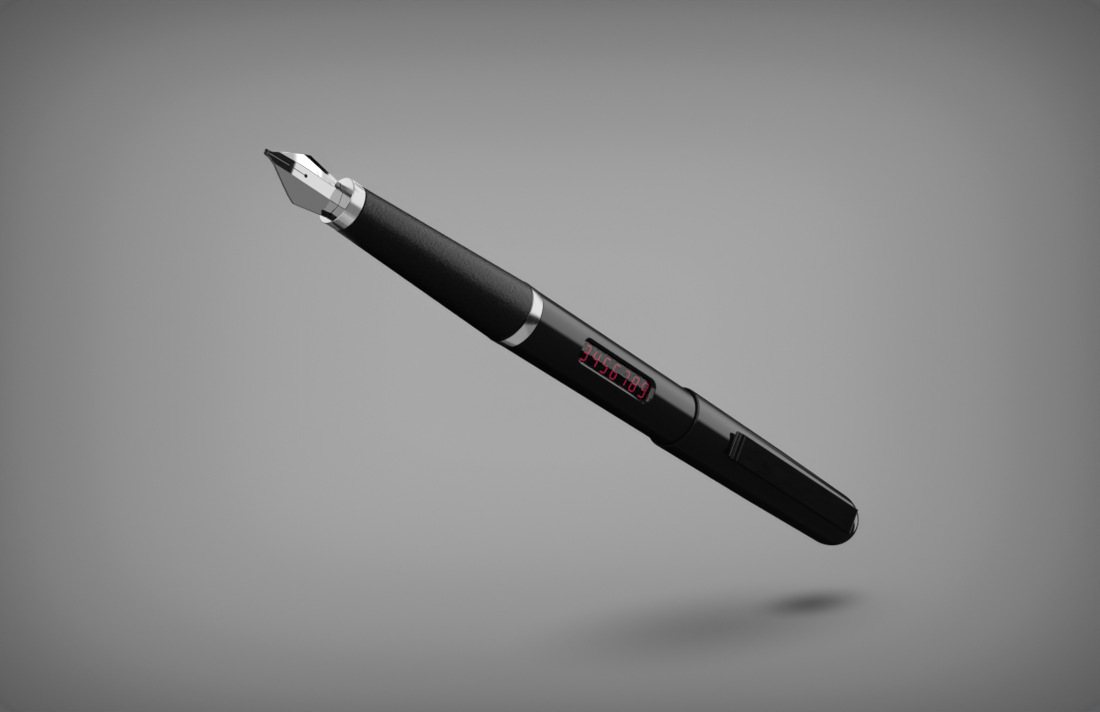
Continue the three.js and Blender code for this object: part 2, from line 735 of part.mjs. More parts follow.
// The bevel climbs from its floor to the window's outline on the barrel, and on past it.
function bevelTool() {
  const inner = roundedRectangle(bevelInnerLength, bevelInnerWidth, bevelInnerCorner);
  const outer = roundedRectangle(WINDOW_LENGTH, WINDOW_WIDTH, WINDOW_CORNER);
  const floor = inner.map(([x, y]) => new THREE.Vector3(x, y, BEVEL_FLOOR));
  const beyond = outer.map(([x, y], i) => {
    const onBarrel = new THREE.Vector3(x, y, Math.sqrt(BARREL_RADIUS ** 2 - y * y));
    return floor[i].clone().lerp(onBarrel, BEVEL_REACH);
  });
  const count = floor.length;
  const positions = [...floor, ...beyond].flatMap((point) => [point.x + WINDOW_CENTRE, point.y, point.z]);
  const faces = [];
  for (let i = 0; i < count; i++) {
    const next = (i + 1) % count;
    faces.push(i, next, count + next, i, count + next, count + i);
    if (i > 0 && next > 0) faces.push(0, next, i, count, count + i, count + next);
  }
  const geometry = new THREE.BufferGeometry();
  geometry.setAttribute("position", new THREE.Float32BufferAttribute(positions, 3));
  geometry.setIndex(faces);
  return geometry;
}

function makeBezel() {
  const plug = outlineAt(WINDOW_LENGTH, WINDOW_WIDTH, WINDOW_CORNER, bezelFloor, aboveBarrel);
  const barrelSolid = rod(barrelFront, taperFront, BARREL_RADIUS, ROUND);
  const sight = outlineAt(bevelInnerLength, bevelInnerWidth, bevelInnerCorner, bezelFloor - THROUGH, aboveBarrel);
  const rabbet = outlineAt(
    glassLength + 2 * FIT, glassWidth + 2 * FIT, bevelInnerCorner + GLASS_LEDGE, bezelFloor - THROUGH, GLASS_TOP + FIT,
  );
  return cut(common(plug, barrelSolid), sight, rabbet, bevelTool());
}

const panelTop = glassFloor - FIT;
const panelFloor = panelTop - PANEL_THICKNESS;

add("barrel", makeBarrel(), "blackGloss");
add("barrel_insert", makeInsert(), "blackPlastic");
add("display_bezel", makeBezel(), "blackGloss");
add(
  "display_window",
  outlineAt(glassLength, glassWidth, bevelInnerCorner + GLASS_LEDGE, glassFloor, GLASS_TOP),
  "glass",
);
add("display_panel", outlineAt(glassLength, glassWidth, PANEL_CORNER, panelFloor, panelTop), "display");

// Electronics carrier: two rails beside the display, a tray for the board and a cup for the cells.
const railFront = WINDOW_CENTRE - glassLength / 2 - RAIL_WIDTH;
const trayFront = Math.max(knobRear, WINDOW_CENTRE + glassLength / 2) + TRAY_GAP;
const boardFront = trayFront + FIT;
const plugFlangeFront = barrelRear - PLUG_FLANGE;
const plugFront = plugFlangeFront - PLUG_SPIGOT;
const cellsRear = plugFront - SPRING_LENGTH - 2 * FACE;
const cellsFront = cellsRear - 2 * CELL_LENGTH;
const contactFront = cellsFront - FACE - CONTACT_THICKNESS;
const boardRear = contactFront - FACE;
const railInner = glassWidth / 2 + FIT;
const trayRadius = tailBore - SLIDE;
const boardFloor = BOARD_TOP - BOARD_THICKNESS;

function makeCarrier() {
  const railOuter = railInner + RAIL_WIDTH;
  const railTop = panelFloor + RAIL_LIP;
  const railFloor = panelFloor - FIT - RAIL_FLOOR;
  const rail = [
    [railInner - RAIL_LEDGE, railFloor],
    [railOuter, railFloor],
    [railOuter, railTop],
    [railInner, railTop],
    [railInner, panelFloor - FIT],
    [railInner - RAIL_LEDGE, panelFloor - FIT],
  ];
  const left = endSlab(rail, railFront, trayFront + TRAY_FLOOR);
  const right = endSlab(rail.map(([y, z]) => [-y, z]).reverse(), railFront, trayFront + TRAY_FLOOR);
  const body = rod(trayFront, boardRear, trayRadius, ROUND);
  const width = BOARD_WIDTH / 2 + FIT;
  const room = block(trayFront + TRAY_FLOOR, boardRear + THROUGH, -width, width, boardFloor - FIT, CLEAR);
  const under = block(
    trayFront + TRAY_FLOOR, boardRear - TRAY_FLOOR, -width + TRAY_FLOOR, width - TRAY_FLOOR, -CLEAR, boardFloor,
  );
  const flexHalf = FLEX_WIDTH / 2 + SLIDE;
  const flexGap = block(trayFront - THROUGH, trayFront + TRAY_FLOOR + THROUGH, -flexHalf, flexHalf, 0, 6);
  return join(cut(body, room, under, flexGap), left, right);
}

add("electronics_carrier", makeCarrier(), "blackPlastic");
add(
  "circuit_board",
  block(boardFront + TRAY_FLOOR, boardRear, -BOARD_WIDTH / 2, BOARD_WIDTH / 2, boardFloor, BOARD_TOP),
  "board",
);
const chipFront = boardRear - CHIP_MARGIN - CHIP_SIZE;
add(
  "driver_chip",
  block(chipFront, chipFront + CHIP_SIZE, -CHIP_SIZE / 2, CHIP_SIZE / 2, BOARD_TOP + FIT, BOARD_TOP + CHIP_HEIGHT),
  "blackPlastic",
);

// Ribbon from the rear edge of the display down to the board.
function makeFlex() {
  const startX = WINDOW_CENTRE + glassLength / 2 + FIT;
  const topZ = panelTop - FIT;
  const lowZ = BOARD_TOP + FIT;
  const bendX = startX + FLEX_LEAD;
  const landX = boardFront + TRAY_FLOOR + FLEX_RUN;
  const landEnd = landX + FLEX_LANDING;
  const t = FLEX_THICKNESS;
  return sideSlab(
    [
      [startX, topZ - t],
      [bendX, topZ - t],
      [landX, lowZ],
      [landEnd, lowZ],
      [landEnd, lowZ + t],
      [landX + t / 2, lowZ + t],
      [bendX + t / 2, topZ],
      [startX, topZ],
    ],
    -FLEX_WIDTH / 2,
    FLEX_WIDTH / 2,
  );
}

add("display_flex", makeFlex(), "copper");

// Two button cells between a contact plate and a spring in the end plug.
function makeCell(front) {
  const rear = front + CELL_LENGTH - FACE;
  return turned([
    [front, 0],
    [front, CELL_RADIUS - CELL_RIM],
    [front + CELL_RIM, CELL_RADIUS - CELL_RIM],
    [front + CELL_RIM, CELL_RADIUS],
    [rear, CELL_RADIUS],
    [rear, 0],
  ], SMALL_ROUND);
}

add("battery_contact", rod(contactFront, contactFront + CONTACT_THICKNESS, CONTACT_RADIUS), "copper");
add("battery_cell_front", makeCell(cellsFront), "steel");
add("battery_cell_rear", makeCell(cellsFront + CELL_LENGTH), "steel");

const springFront = cellsRear + FACE + SPRING_WIRE / 2;
const batterySpring = coil(
  SPRING_LENGTH - SPRING_WIRE, SPRING_FRONT_RADIUS, SPRING_REAR_RADIUS, SPRING_TURNS, SPRING_WIRE,
);
add("battery_spring", batterySpring.translate(springFront, 0, 0), "steel");

function makeEndPlug() {
  const body = turned([
    [plugFront, 0],
    [plugFront, tailBore - FIT],
    [plugFlangeFront, tailBore - FIT],
    [plugFlangeFront, BARREL_TAIL_RADIUS],
    [barrelRear - PLUG_ROUND, BARREL_TAIL_RADIUS],
    [barrelRear, BARREL_TAIL_RADIUS - PLUG_ROUND],
    [barrelRear, 0],
  ]);
  const half = PLUG_SLOT_WIDTH / 2;
  return cut(body, block(barrelRear - PLUG_SLOT_DEPTH, barrelRear + THROUGH, -half, half, -6, 6));
}

add("barrel_end_plug", makeEndPlug(), "blackPlastic");

// Cap.
const capBoreRadius = CAP_RIM_RADIUS - CAP_WALL;
const lipBoreRadius = BARREL_RADIUS + SLIDE;
const postEnd = capRim + CAP_POST_DEPTH;
const innerCapEnd = capEnd - CAP_END_WALL - FIT;
const innerCapFront = innerCapEnd - INNER_CAP_LENGTH;
const innerCapShoulder = innerCapFront + INNER_CAP_STRAIGHT;
const innerCapSeat = INNER_CAP_RADIUS + FIT;

function domePoints(steps) {
  const points = [];
  for (let i = 0; i <= steps; i++) {
    const angle = (i / steps) * (Math.PI / 2);
    points.push([
      capShoulder + CAP_DOME_LENGTH * Math.sin(angle),
      CAP_END_RADIUS + (CAP_SHOULDER_RADIUS - CAP_END_RADIUS) * Math.cos(angle),
    ]);
  }
  return points;
}

const slotHalf = CLIP_SLOT_WIDTH / 2;
const slotReach = CLIP_LUG_RADIUS + CLIP_SLOT_MARGIN;

function makeCapShell() {
  const body = turned([
    [capRim, CAP_RIM_RADIUS - CAP_RIM_ROUND],
    [capRim + CAP_RIM_ROUND / 3, CAP_RIM_RADIUS - CAP_RIM_ROUND / 3],
    [capRim + CAP_RIM_ROUND, CAP_RIM_RADIUS],
    [capMiddle, CAP_MIDDLE_RADIUS],
    ...domePoints(7),
    [capEnd, 0],
    [innerCapEnd + FACE, 0],
    [innerCapEnd + FACE, INNER_CAP_END_RADIUS + FIT],
    [innerCapShoulder, innerCapSeat],
    [postEnd + 1, innerCapSeat],
    [postEnd, capBoreRadius],
    [capRim + CAP_LIP_LENGTH, capBoreRadius],
    [capRim + CAP_LIP_LENGTH, lipBoreRadius],
    [capRim, lipBoreRadius],
  ]);
  const slot = block(
    clipPinX - slotReach, clipPinX + slotReach, -slotHalf, slotHalf, CLIP_PIN_Z - slotReach, CLIP_TOP,
  );
  const pinHalf = CLIP_PIN_LENGTH / 2 + FIT;
  const pinHole = crossRod(clipPinX, CLIP_PIN_Z, -pinHalf, pinHalf, CLIP_PIN_RADIUS + FIT);
  return cut(body, slot, pinHole);
}

function makeInnerCap() {
  const endWallFront = innerCapEnd - INNER_CAP_END_WALL;
  return turned([
    [innerCapFront, INNER_CAP_RADIUS],
    [innerCapShoulder, INNER_CAP_RADIUS],
    [innerCapEnd, INNER_CAP_END_RADIUS],
    [innerCapEnd, 0],
    [endWallFront, 0],
    [endWallFront, INNER_CAP_END_RADIUS - INNER_CAP_WALL],
    [innerCapShoulder, INNER_CAP_RADIUS - INNER_CAP_WALL],
    [innerCapFront, INNER_CAP_RADIUS - INNER_CAP_WALL],
  ]);
}

// Spring ring in the cap's bore, split on its underside.
function makeClutchRing() {
  const front = capRim + CLUTCH_DEPTH;
  const outer = capBoreRadius - FIT;
  const ring = tube(front, front + CLUTCH_LENGTH, outer, outer - CLUTCH_WALL);
  const half = CLUTCH_SLOT / 2;
  return cut(ring, block(front - THROUGH, front + CLUTCH_LENGTH + THROUGH, -half, half, -8, -3));
}

add("cap_shell", makeCapShell(), "blackGloss");
add("inner_cap", makeInnerCap(), "blackPlastic");
add("clutch_ring", makeClutchRing(), "steel");

// Clip: a flat plate with a tip that bends down to the cap and forward, and a lug on the pin.
function makeClip() {
  const under = CLIP_TOP - CLIP_THICKNESS;
  const capTop = between(clipFreeEnd, capRim, CAP_RIM_RADIUS, capMiddle, CAP_MIDDLE_RADIUS);
  const footZ = capTop + FIT;
  const footTop = footZ + CLIP_THICKNESS * 0.8;
  const bendX = clipFreeEnd + CLIP_LIP;
  const flatX = bendX + CLIP_BEND;
  const plate = sideSlab(
    [
      [clipFreeEnd, footZ + 0.25],
      [bendX - 0.6, footZ],
      [bendX, footZ],
      [flatX, under],
      [clipTailEnd - CLIP_THICKNESS, under],
      [clipTailEnd - CLIP_THICKNESS, under - CLIP_TAIL_DROP],
      [clipTailEnd, under - CLIP_TAIL_DROP],
      [clipTailEnd, CLIP_TOP - 0.2],
      [clipTailEnd - 0.2, CLIP_TOP],
      [flatX - 0.2, CLIP_TOP],
      [bendX + 0.2, CLIP_TOP - 0.2],
      [bendX - 0.3, footTop],
      [clipFreeEnd + 0.1, footTop + 0.2],
    ],
    -CLIP_WIDTH / 2,
    CLIP_WIDTH / 2,
  );
  const plan = new THREE.Shape(
    roundedRectangle(clipTailEnd - clipFreeEnd, CLIP_WIDTH, CLIP_CORNER).map(([x, y]) => new THREE.Vector2(x, y)),
  );
  const mould = new THREE.ExtrudeGeometry(plan, { depth: 4, bevelEnabled: false });
  mould.translate((clipTailEnd + clipFreeEnd) / 2, 0, 5);
  const lugFrom = -slotHalf + SLIDE;
  const lugTo = lugFrom + CLIP_LUG_WIDTH;
  const eye = crossRod(clipPinX, CLIP_PIN_Z, lugFrom, lugTo, CLIP_LUG_RADIUS);
  const neck = block(
    clipPinX - CLIP_LUG_RADIUS, clipPinX + CLIP_LUG_RADIUS * 0.8, lugFrom, lugTo, CLIP_PIN_Z, under + 0.1,
  );
  const hole = crossRod(clipPinX, CLIP_PIN_Z, lugFrom - THROUGH, lugTo + THROUGH, CLIP_PIN_RADIUS + SLIDE);
  return cut(join(common(plate, mould), eye, neck), hole);
}

const clipSpringRadius = CLIP_PIN_RADIUS + SLIDE + CLIP_SPRING_WIRE;
const clipSpringFrom = -slotHalf + SLIDE + CLIP_LUG_WIDTH + SLIDE + CLIP_SPRING_WIRE / 2;
const clipSpringTo = slotHalf - SLIDE - CLIP_SPRING_WIRE / 2;

function makeClipSpring() {
  const length = clipSpringTo - clipSpringFrom;
  const wire = coil(length, clipSpringRadius, clipSpringRadius, CLIP_SPRING_TURNS, CLIP_SPRING_WIRE, 5, 10);
  return wire.rotateZ(Math.PI / 2).translate(clipPinX, clipSpringFrom, CLIP_PIN_Z);
}

add("clip", makeClip(), "blackGloss");
add(
  "clip_pin",
  crossRod(clipPinX, CLIP_PIN_Z, -CLIP_PIN_LENGTH / 2, CLIP_PIN_LENGTH / 2, CLIP_PIN_RADIUS),
  "steel",
);
add("clip_spring", makeClipSpring(), "steel");

const nibFront = -NIB_TIP + TIPPING_RADIUS / 3 - TIPPING_RADIUS;
parts.position.set(-(nibFront + capEnd) / 2, 0, CAP_RIM_RADIUS);

const pen = new THREE.Group();
pen.add(parts);
export default pen;
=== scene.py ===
import json
import math

import bmesh
import bpy
from mathutils import Matrix, Vector, noise


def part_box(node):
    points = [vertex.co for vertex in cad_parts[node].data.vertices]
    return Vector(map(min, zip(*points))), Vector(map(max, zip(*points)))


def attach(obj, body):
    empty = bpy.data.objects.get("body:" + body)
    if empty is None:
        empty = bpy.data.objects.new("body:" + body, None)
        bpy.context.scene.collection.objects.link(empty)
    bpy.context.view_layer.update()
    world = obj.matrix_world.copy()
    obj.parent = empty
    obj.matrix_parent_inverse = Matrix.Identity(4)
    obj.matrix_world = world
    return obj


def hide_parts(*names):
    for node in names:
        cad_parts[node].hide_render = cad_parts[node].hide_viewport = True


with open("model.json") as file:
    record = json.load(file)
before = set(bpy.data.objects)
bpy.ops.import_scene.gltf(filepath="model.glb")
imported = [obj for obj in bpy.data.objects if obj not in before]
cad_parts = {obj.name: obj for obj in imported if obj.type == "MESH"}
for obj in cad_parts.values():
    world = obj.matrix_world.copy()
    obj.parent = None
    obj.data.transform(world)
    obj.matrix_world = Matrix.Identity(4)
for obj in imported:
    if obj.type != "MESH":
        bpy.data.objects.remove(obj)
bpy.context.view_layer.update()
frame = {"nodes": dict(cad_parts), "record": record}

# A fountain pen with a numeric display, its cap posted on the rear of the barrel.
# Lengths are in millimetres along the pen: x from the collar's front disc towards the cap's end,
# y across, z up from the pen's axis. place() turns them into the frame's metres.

MM = 0.001
DISC_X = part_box("front_collar")[0].x
AXIS_Z = (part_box("mid_ring")[0].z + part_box("mid_ring")[1].z) / 2


def place(x, y, z):
    return Vector((DISC_X + x * MM, y * MM, AXIS_Z + z * MM))


def span(node):
    """First and last x of a CAD node."""
    low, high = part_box(node)
    return (low.x - DISC_X) / MM, (high.x - DISC_X) / MM


def radius_of(node):
    """Largest radius of a round CAD node, from its width."""
    low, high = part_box(node)
    return (high.y - low.y) / 2 / MM


def round_size(node):
    return *span(node), radius_of(node)


def height_of(node):
    """Lowest and highest z of a CAD node."""
    low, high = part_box(node)
    return (low.z - AXIS_Z) / MM, (high.z - AXIS_Z) / MM


# Camera and photograph frame.
CAMERA_PLACE = Vector((-183.65, -63.0, 216.02)) * MM
CAMERA_RIGHT = Vector((0.6667, 0.3703, 0.6467))
CAMERA_UP = Vector((-0.4214, 0.9030, -0.0827))
CAMERA_LENS = 50
CAMERA_SENSOR = 36
PHOTO_WIDTH = 1100
PHOTO_HEIGHT = 712


def make_camera():
    back = CAMERA_RIGHT.cross(CAMERA_UP).normalized()
    up = back.cross(CAMERA_RIGHT).normalized()
    right = up.cross(back)
    data = bpy.data.cameras.new("camera")
    data.lens = CAMERA_LENS
    data.sensor_width = CAMERA_SENSOR
    data.clip_start = 0.01
    data.clip_end = 20
    camera = bpy.data.objects.new("camera", data)
    turn = Matrix((right, up, back)).transposed().to_4x4()
    camera.matrix_world = Matrix.Translation(CAMERA_PLACE) @ turn
    bpy.context.scene.collection.objects.link(camera)
    bpy.context.scene.camera = camera


make_camera()


# Materials. Texture scales are per metre, so 5000 is a grain of 0.2 mm.
class Nodes:
    """Adds nodes to a tree. A node's input is another node's output, or a constant."""

    def __init__(self, tree):
        self.tree = tree

    def feed(self, socket, value):
        if isinstance(value, bpy.types.NodeSocket):
            self.tree.links.new(value, socket)
        else:
            socket.default_value = value

    def node(self, kind, inputs=None, **settings):
        made = self.tree.nodes.new(kind)
        for key, value in settings.items():
            setattr(made, key, value)
        for socket, value in (inputs or {}).items():
            self.feed(made.inputs[socket], value)
        return made

    def number(self, operation, *values):
        return self.node("ShaderNodeMath", dict(enumerate(values)), operation=operation).outputs["Value"]

    def vector(self, operation, *values, output="Value"):
        return self.node("ShaderNodeVectorMath", dict(enumerate(values)), operation=operation).outputs[output]

    def spread(self, value, low, high, from_low=0.3, from_high=0.7, shape="LINEAR"):
        """Maps a value's range, from from_low to from_high, to the range from low to high."""
        ends = {"Value": value, "From Min": from_low, "From Max": from_high, "To Min": low, "To Max": high}
        return self.node("ShaderNodeMapRange", ends, interpolation_type=shape).outputs["Result"]


class Shader(Nodes):
    """A material's node tree with its Principled shader."""

    def __init__(self, name, colour, roughness, metallic=0.0, ior=1.5):
        self.material = bpy.data.materials.new(name)
        self.material.use_nodes = True
        super().__init__(self.material.node_tree)
        self.set("Base Color", (*colour, 1))
        self.set("Roughness", roughness)
        self.set("Metallic", metallic)
        self.set("IOR", ior)
        self.coordinates = self.node("ShaderNodeTexCoord").outputs["Object"]

    def set(self, socket, value):
        self.feed(self.tree.nodes["Principled BSDF"].inputs[socket], value)

    def noise(self, scale, detail=2.0, stretch=(1, 1, 1), distortion=0.0):
        mapping = self.node("ShaderNodeMapping", {"Scale": stretch, "Vector": self.coordinates})
        inputs = {"Scale": scale, "Detail": detail, "Distortion": distortion}
        inputs["Vector"] = mapping.outputs["Vector"]
        return self.node("ShaderNodeTexNoise", inputs).outputs["Fac"]

    def cell_edges(self, scale):
        inputs = {"Scale": scale, "Vector": self.coordinates}
        return self.node("ShaderNodeTexVoronoi", inputs, feature="DISTANCE_TO_EDGE").outputs["Distance"]

    def vary_roughness(self, value, low, high):
        self.set("Roughness", self.spread(value, low, high))

    def vary_colour(self, value, dark, light, from_low=0.3, from_high=0.7):
        ramp = self.node("ShaderNodeValToRGB", {"Fac": value})
        for element, spot, colour in zip(ramp.color_ramp.elements, (from_low, from_high), (dark, light)):
            element.position = spot
            element.color = (*colour, 1)
        self.set("Base Color", ramp.outputs["Color"])

    def bump(self, value, height_mm, strength):
        inputs = {"Strength": strength, "Distance": height_mm * MM, "Height": value}
        self.set("Normal", self.node("ShaderNodeBump", inputs).outputs["Normal"])


def surface(name, colour, roughness, grain, rough=None, shades=None, relief=None, sockets=None, **values):
    """A material whose one noise texture varies its roughness, colour and relief."""
    shader = Shader(name, colour, roughness, **values)
    for socket, value in (sockets or {}).items():
        shader.set(socket, value)
    texture = shader.noise(*grain)
    if rough:
        shader.vary_roughness(texture, *rough)
    if shades:
        shader.vary_colour(texture, *shades)
    if relief:
        shader.bump(texture, *relief)
    return shader.material


def gloss_black():
    shader = Shader("gloss black", (0.01, 0.01, 0.0103), 0.1, ior=1.6)
    smear = shader.noise(120, 3, (0.4, 1, 1))
    shader.vary_roughness(smear, 0.08, 0.12)
    shader.vary_colour(smear, (0.009, 0.009, 0.0093), (0.011, 0.011, 0.0114))
    shader.bump(shader.noise(900, 2), 0.0006, 0.5)
    return shader.material


def grained_grip():
    shader = Shader("grained grip", (0.011, 0.011, 0.0114), 0.35)
    wrinkles = shader.noise(2600, 4, (0.7, 1, 1), 0.6)
    shader.vary_colour(wrinkles, (0.009, 0.009, 0.0093), (0.013, 0.013, 0.0134))
    shader.vary_roughness(wrinkles, 0.28, 0.4)
    shader.bump(shader.number("MULTIPLY_ADD", shader.cell_edges(5200), 0.6, wrinkles), 0.05, 0.7)
    return shader.material


def nib_steel():
    """Bright steel with painted shade that darkens it towards the tip."""
    shader = Shader("nib steel", (0.36, 0.36, 0.36), 0.08, 1.0)
    brushing = shader.noise(3000, 3, (0.06, 1, 1))
    shader.vary_roughness(brushing, 0.04, 0.08)
    shader.bump(brushing, 0.0005, 0.4)
    along = shader.node("ShaderNodeSeparateXYZ", {"Vector": shader.coordinates}).outputs["X"]
    # Painted shade: the colour turns dark over the tines and the tip.
    painted_tip_shade = shader.spread(along, 0, 1, place(-15.5, 0, 0).x, place(-13.9, 0, 0).x)
    shade = shader.number("MULTIPLY_ADD", brushing, 0.05, painted_tip_shade)
    shader.vary_colour(shade, (0.03, 0.03, 0.03), (0.36, 0.36, 0.36), 0.3, 0.9)
    return shader.material


def board_lacquer():
    shader = Shader("board lacquer", (0.03, 0.16, 0.08), 0.35)
    tracks = shader.cell_edges(1100)
    shader.vary_colour(tracks, (0.02, 0.12, 0.06), (0.04, 0.2, 0.1), 0.02, 0.12)
    shader.bump(tracks, 0.01, 0.4)
    return shader.material


MATERIALS = {
    "gloss_black": gloss_black(),
    "clip_black": surface(
        "clip lacquer", (0.006, 0.006, 0.0065), 0.12, (2500, 3, (0.08, 1, 1)), (0.09, 0.15),
        ((0.005, 0.005, 0.0055), (0.0075, 0.0075, 0.008)), (0.0008, 0.4), ior=1.38,
    ),
    "grip_black": grained_grip(),
    "chrome": surface(
        "mirror chrome", (0.4, 0.4, 0.403), 0.16, (1800, 3, (1, 0.05, 0.05)), (0.13, 0.2),
        ((0.39, 0.39, 0.393), (0.41, 0.41, 0.413)), (0.0006, 0.4), metallic=1.0,
    ),
    "nib_steel": nib_steel(),
    "black_plastic": surface(
        "black moulding", (0.02, 0.02, 0.021), 0.4, (3500, 3), (0.33, 0.48),
        ((0.017, 0.017, 0.018), (0.024, 0.024, 0.025)), (0.004, 0.6),
    ),
    "clear_plastic": surface(
        "clear moulding", (0.93, 0.95, 0.96), 0.05, (700, 2, (0.3, 1, 1)), (0.03, 0.08),
        sockets={"Transmission Weight": 1.0}, ior=1.49,
    ),
    "window_glass": surface(
        "window glass", (0.86, 0.9, 0.89), 0.02, (500, 2), (0.01, 0.03),
        sockets={"Transmission Weight": 1.0}, ior=1.43,
    ),
    "display_panel": surface(
        "display panel", (0.004, 0.006, 0.005), 0.5, (6000, 1),
        shades=((0.003, 0.005, 0.004), (0.005, 0.008, 0.006)), relief=(0.002, 0.3),
        sockets={"Specular IOR Level": 0.0},
    ),
    "seal_rubber": surface(
        "seal rubber", (0.03, 0.03, 0.033), 0.75, (4000, 3), (0.65, 0.85), relief=(0.006, 0.6),
    ),
    "inner_steel": surface(
        "inner steel", (0.5, 0.5, 0.505), 0.25, (2200, 3, (1, 0.1, 0.1)), (0.2, 0.34),
        ((0.46, 0.46, 0.465), (0.54, 0.54, 0.545)), metallic=1.0,
    ),
    "circuit_board": board_lacquer(),
    "ribbon": surface(
        "film ribbon", (0.42, 0.2, 0.05), 0.3, (5000, 1, (0.02, 1, 1)),
        shades=((0.3, 0.13, 0.03), (0.5, 0.26, 0.08)),
    ),
    "contact_brass": surface(
        "contact brass", (0.62, 0.46, 0.2), 0.25, (900, 4), (0.18, 0.36),
        ((0.52, 0.37, 0.14), (0.68, 0.52, 0.25)), metallic=1.0,
    ),
}
LIT_DIGITS = surface(
    "lit digits", (0.5, 0.012, 0.06), 0.6, (4000, 2), shades=((0.45, 0.01, 0.05), (0.55, 0.016, 0.07)),
    sockets={"Specular IOR Level": 0.0, "Emission Color": (1.0, 0.03, 0.14, 1), "Emission Strength": 0.36},
)

SLOT_OF = {subpart["node"]: subpart["material_slot"] for subpart in frame["record"]["subparts"]}
BODY_OF = {
    node: body
    for body, nodes in frame["record"]["behaviour"]["bodies"].items()
    for node in nodes
}


def paint(made, slot):
    made.data.materials.clear()
    made.data.materials.append(MATERIALS[slot])


# CAD nodes that stay in sight keep their shape and take the material of their slot.
for node, slot in SLOT_OF.items():
    paint(frame["nodes"][node], slot)

SHARP_ANGLE = math.radians(32)
ROUND = 192
SMALL_ROUND = 96
FILLET_STEPS = 5


# Mesh building. A shape is a list of (x, y, z) points in millimetres and a list of faces.
def add_object(name, points, faces):
    mesh = bpy.data.meshes.new(name)
    mesh.from_pydata(points, [], faces)
    made = bpy.data.objects.new(name, mesh)
    bpy.context.scene.collection.objects.link(made)
    return made


def new_object(name, points, faces):
    made = add_object(name, [place(*point) for point in points], faces)
    work = bmesh.new()
    work.from_mesh(made.data)
    bmesh.ops.remove_doubles(work, verts=work.verts, dist=1e-7)
    bmesh.ops.recalc_face_normals(work, faces=work.faces)
    work.to_mesh(made.data)
    work.free()
    return made


def smooth_by_angle(made, angle=SHARP_ANGLE):
    made.data.shade_smooth()
    made.data.set_sharp_from_angle(angle=angle)


def apply_modifiers(made):
    graph = bpy.context.evaluated_depsgraph_get()
    mesh = bpy.data.meshes.new_from_object(made.evaluated_get(graph))
    made.modifiers.clear()
    old = made.data
    made.data = mesh
    bpy.data.meshes.remove(old)


def flat_normals(made):
    """Lets the large faces set the normals, so that flats stay flat up to their rounded edges."""
    modifier = made.modifiers.new("flats", "WEIGHTED_NORMAL")
    modifier.weight = 100
    modifier.keep_sharp = True
    apply_modifiers(made)


def combined(made, *tools, operation="DIFFERENCE"):
    """Applies boolean cuts or joins to an object and deletes the tools."""
    for tool in tools:
        modifier = made.modifiers.new("combine", "BOOLEAN")
        modifier.object = tool
        modifier.operation = operation
        modifier.solver = "EXACT"
    apply_modifiers(made)
    for tool in tools:
        bpy.data.objects.remove(tool)
    return made


def finish_piece(made, node):
    """Gives a piece the material, slot and body of the CAD node that it stands for."""
    slot = SLOT_OF[node]
    paint(made, slot)
    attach(made, BODY_OF[node])
    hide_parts(node)
    return made


def filleted(corners):
    """A profile with its corners rounded. A corner is (x, r) or (x, r, fillet radius)."""
    points = []
    count = len(corners)
    for i, corner in enumerate(corners):
        here = Vector(corner[:2])
        fillet = corner[2] if len(corner) > 2 else 0
        if fillet == 0:
            points.append(here)
            continue
        back = (Vector(corners[i - 1][:2]) - here).normalized()
        on = (Vector(corners[(i + 1) % count][:2]) - here).normalized()
        half = math.acos(max(-1, min(1, back.dot(on)))) / 2
        reach = fillet / math.tan(half)
        centre = here + (back + on).normalized() * (fillet / math.sin(half))
        start = here + back * reach - centre
        end = here + on * reach - centre
        sweep = start.angle_signed(end)
        for step in range(FILLET_STEPS + 1):
            turned_start = start.copy()
            turned_start.rotate(Matrix.Rotation(-sweep * step / FILLET_STEPS, 2))
            points.append(centre + turned_start)
    return points


def lathe(profile, segments=ROUND, radius_at=None):
    """A body turned round the pen's axis from a closed profile of (x, r) points."""
    count = len(profile)
    points = []
    for angle in circle(segments):
        for x, radius in profile:
            r = radius if radius_at is None else radius_at(x, radius, angle)
            points.append((x, r * math.sin(angle), r * math.cos(angle)))
    faces = []
    for i in range(segments):
        a = i * count
        b = ((i + 1) % segments) * count
        for j in range(count):
            k = (j + 1) % count
            if profile[j][1] or profile[k][1]:
                faces.append((a + j, b + j, b + k, a + k))
    return points, faces


def turned(name, corners, segments=ROUND, radius_at=None):
    """A body turned from a profile with fillets, shaded smoothly."""
    made = new_object(name, *lathe(filleted(corners), segments, radius_at))
    smooth_by_angle(made)
    return made


def turned_piece(name, node, corners, segments=ROUND, radius_at=None):
    return finish_piece(turned(name, corners, segments, radius_at), node)


def smooth_piece(name, node, shape, angle=SHARP_ANGLE):
    made = new_object(name, *shape)
    smooth_by_angle(made, angle)
    return finish_piece(made, node)


def circle(count):
    """Angles once round, evenly spaced."""
    return [2 * math.pi * i / count for i in range(count)]


def rounded_rectangle(length, width, corner, steps=8):
    points = []
    for quarter, (sx, sy) in enumerate(((1, 1), (-1, 1), (-1, -1), (1, -1))):
        for i in range(steps + 1):
            angle = (quarter + i / steps) * math.pi / 2
            x = sx * (length / 2 - corner) + corner * math.cos(angle)
            y = sy * (width / 2 - corner) + corner * math.sin(angle)
            points.append((x, y))
    return points


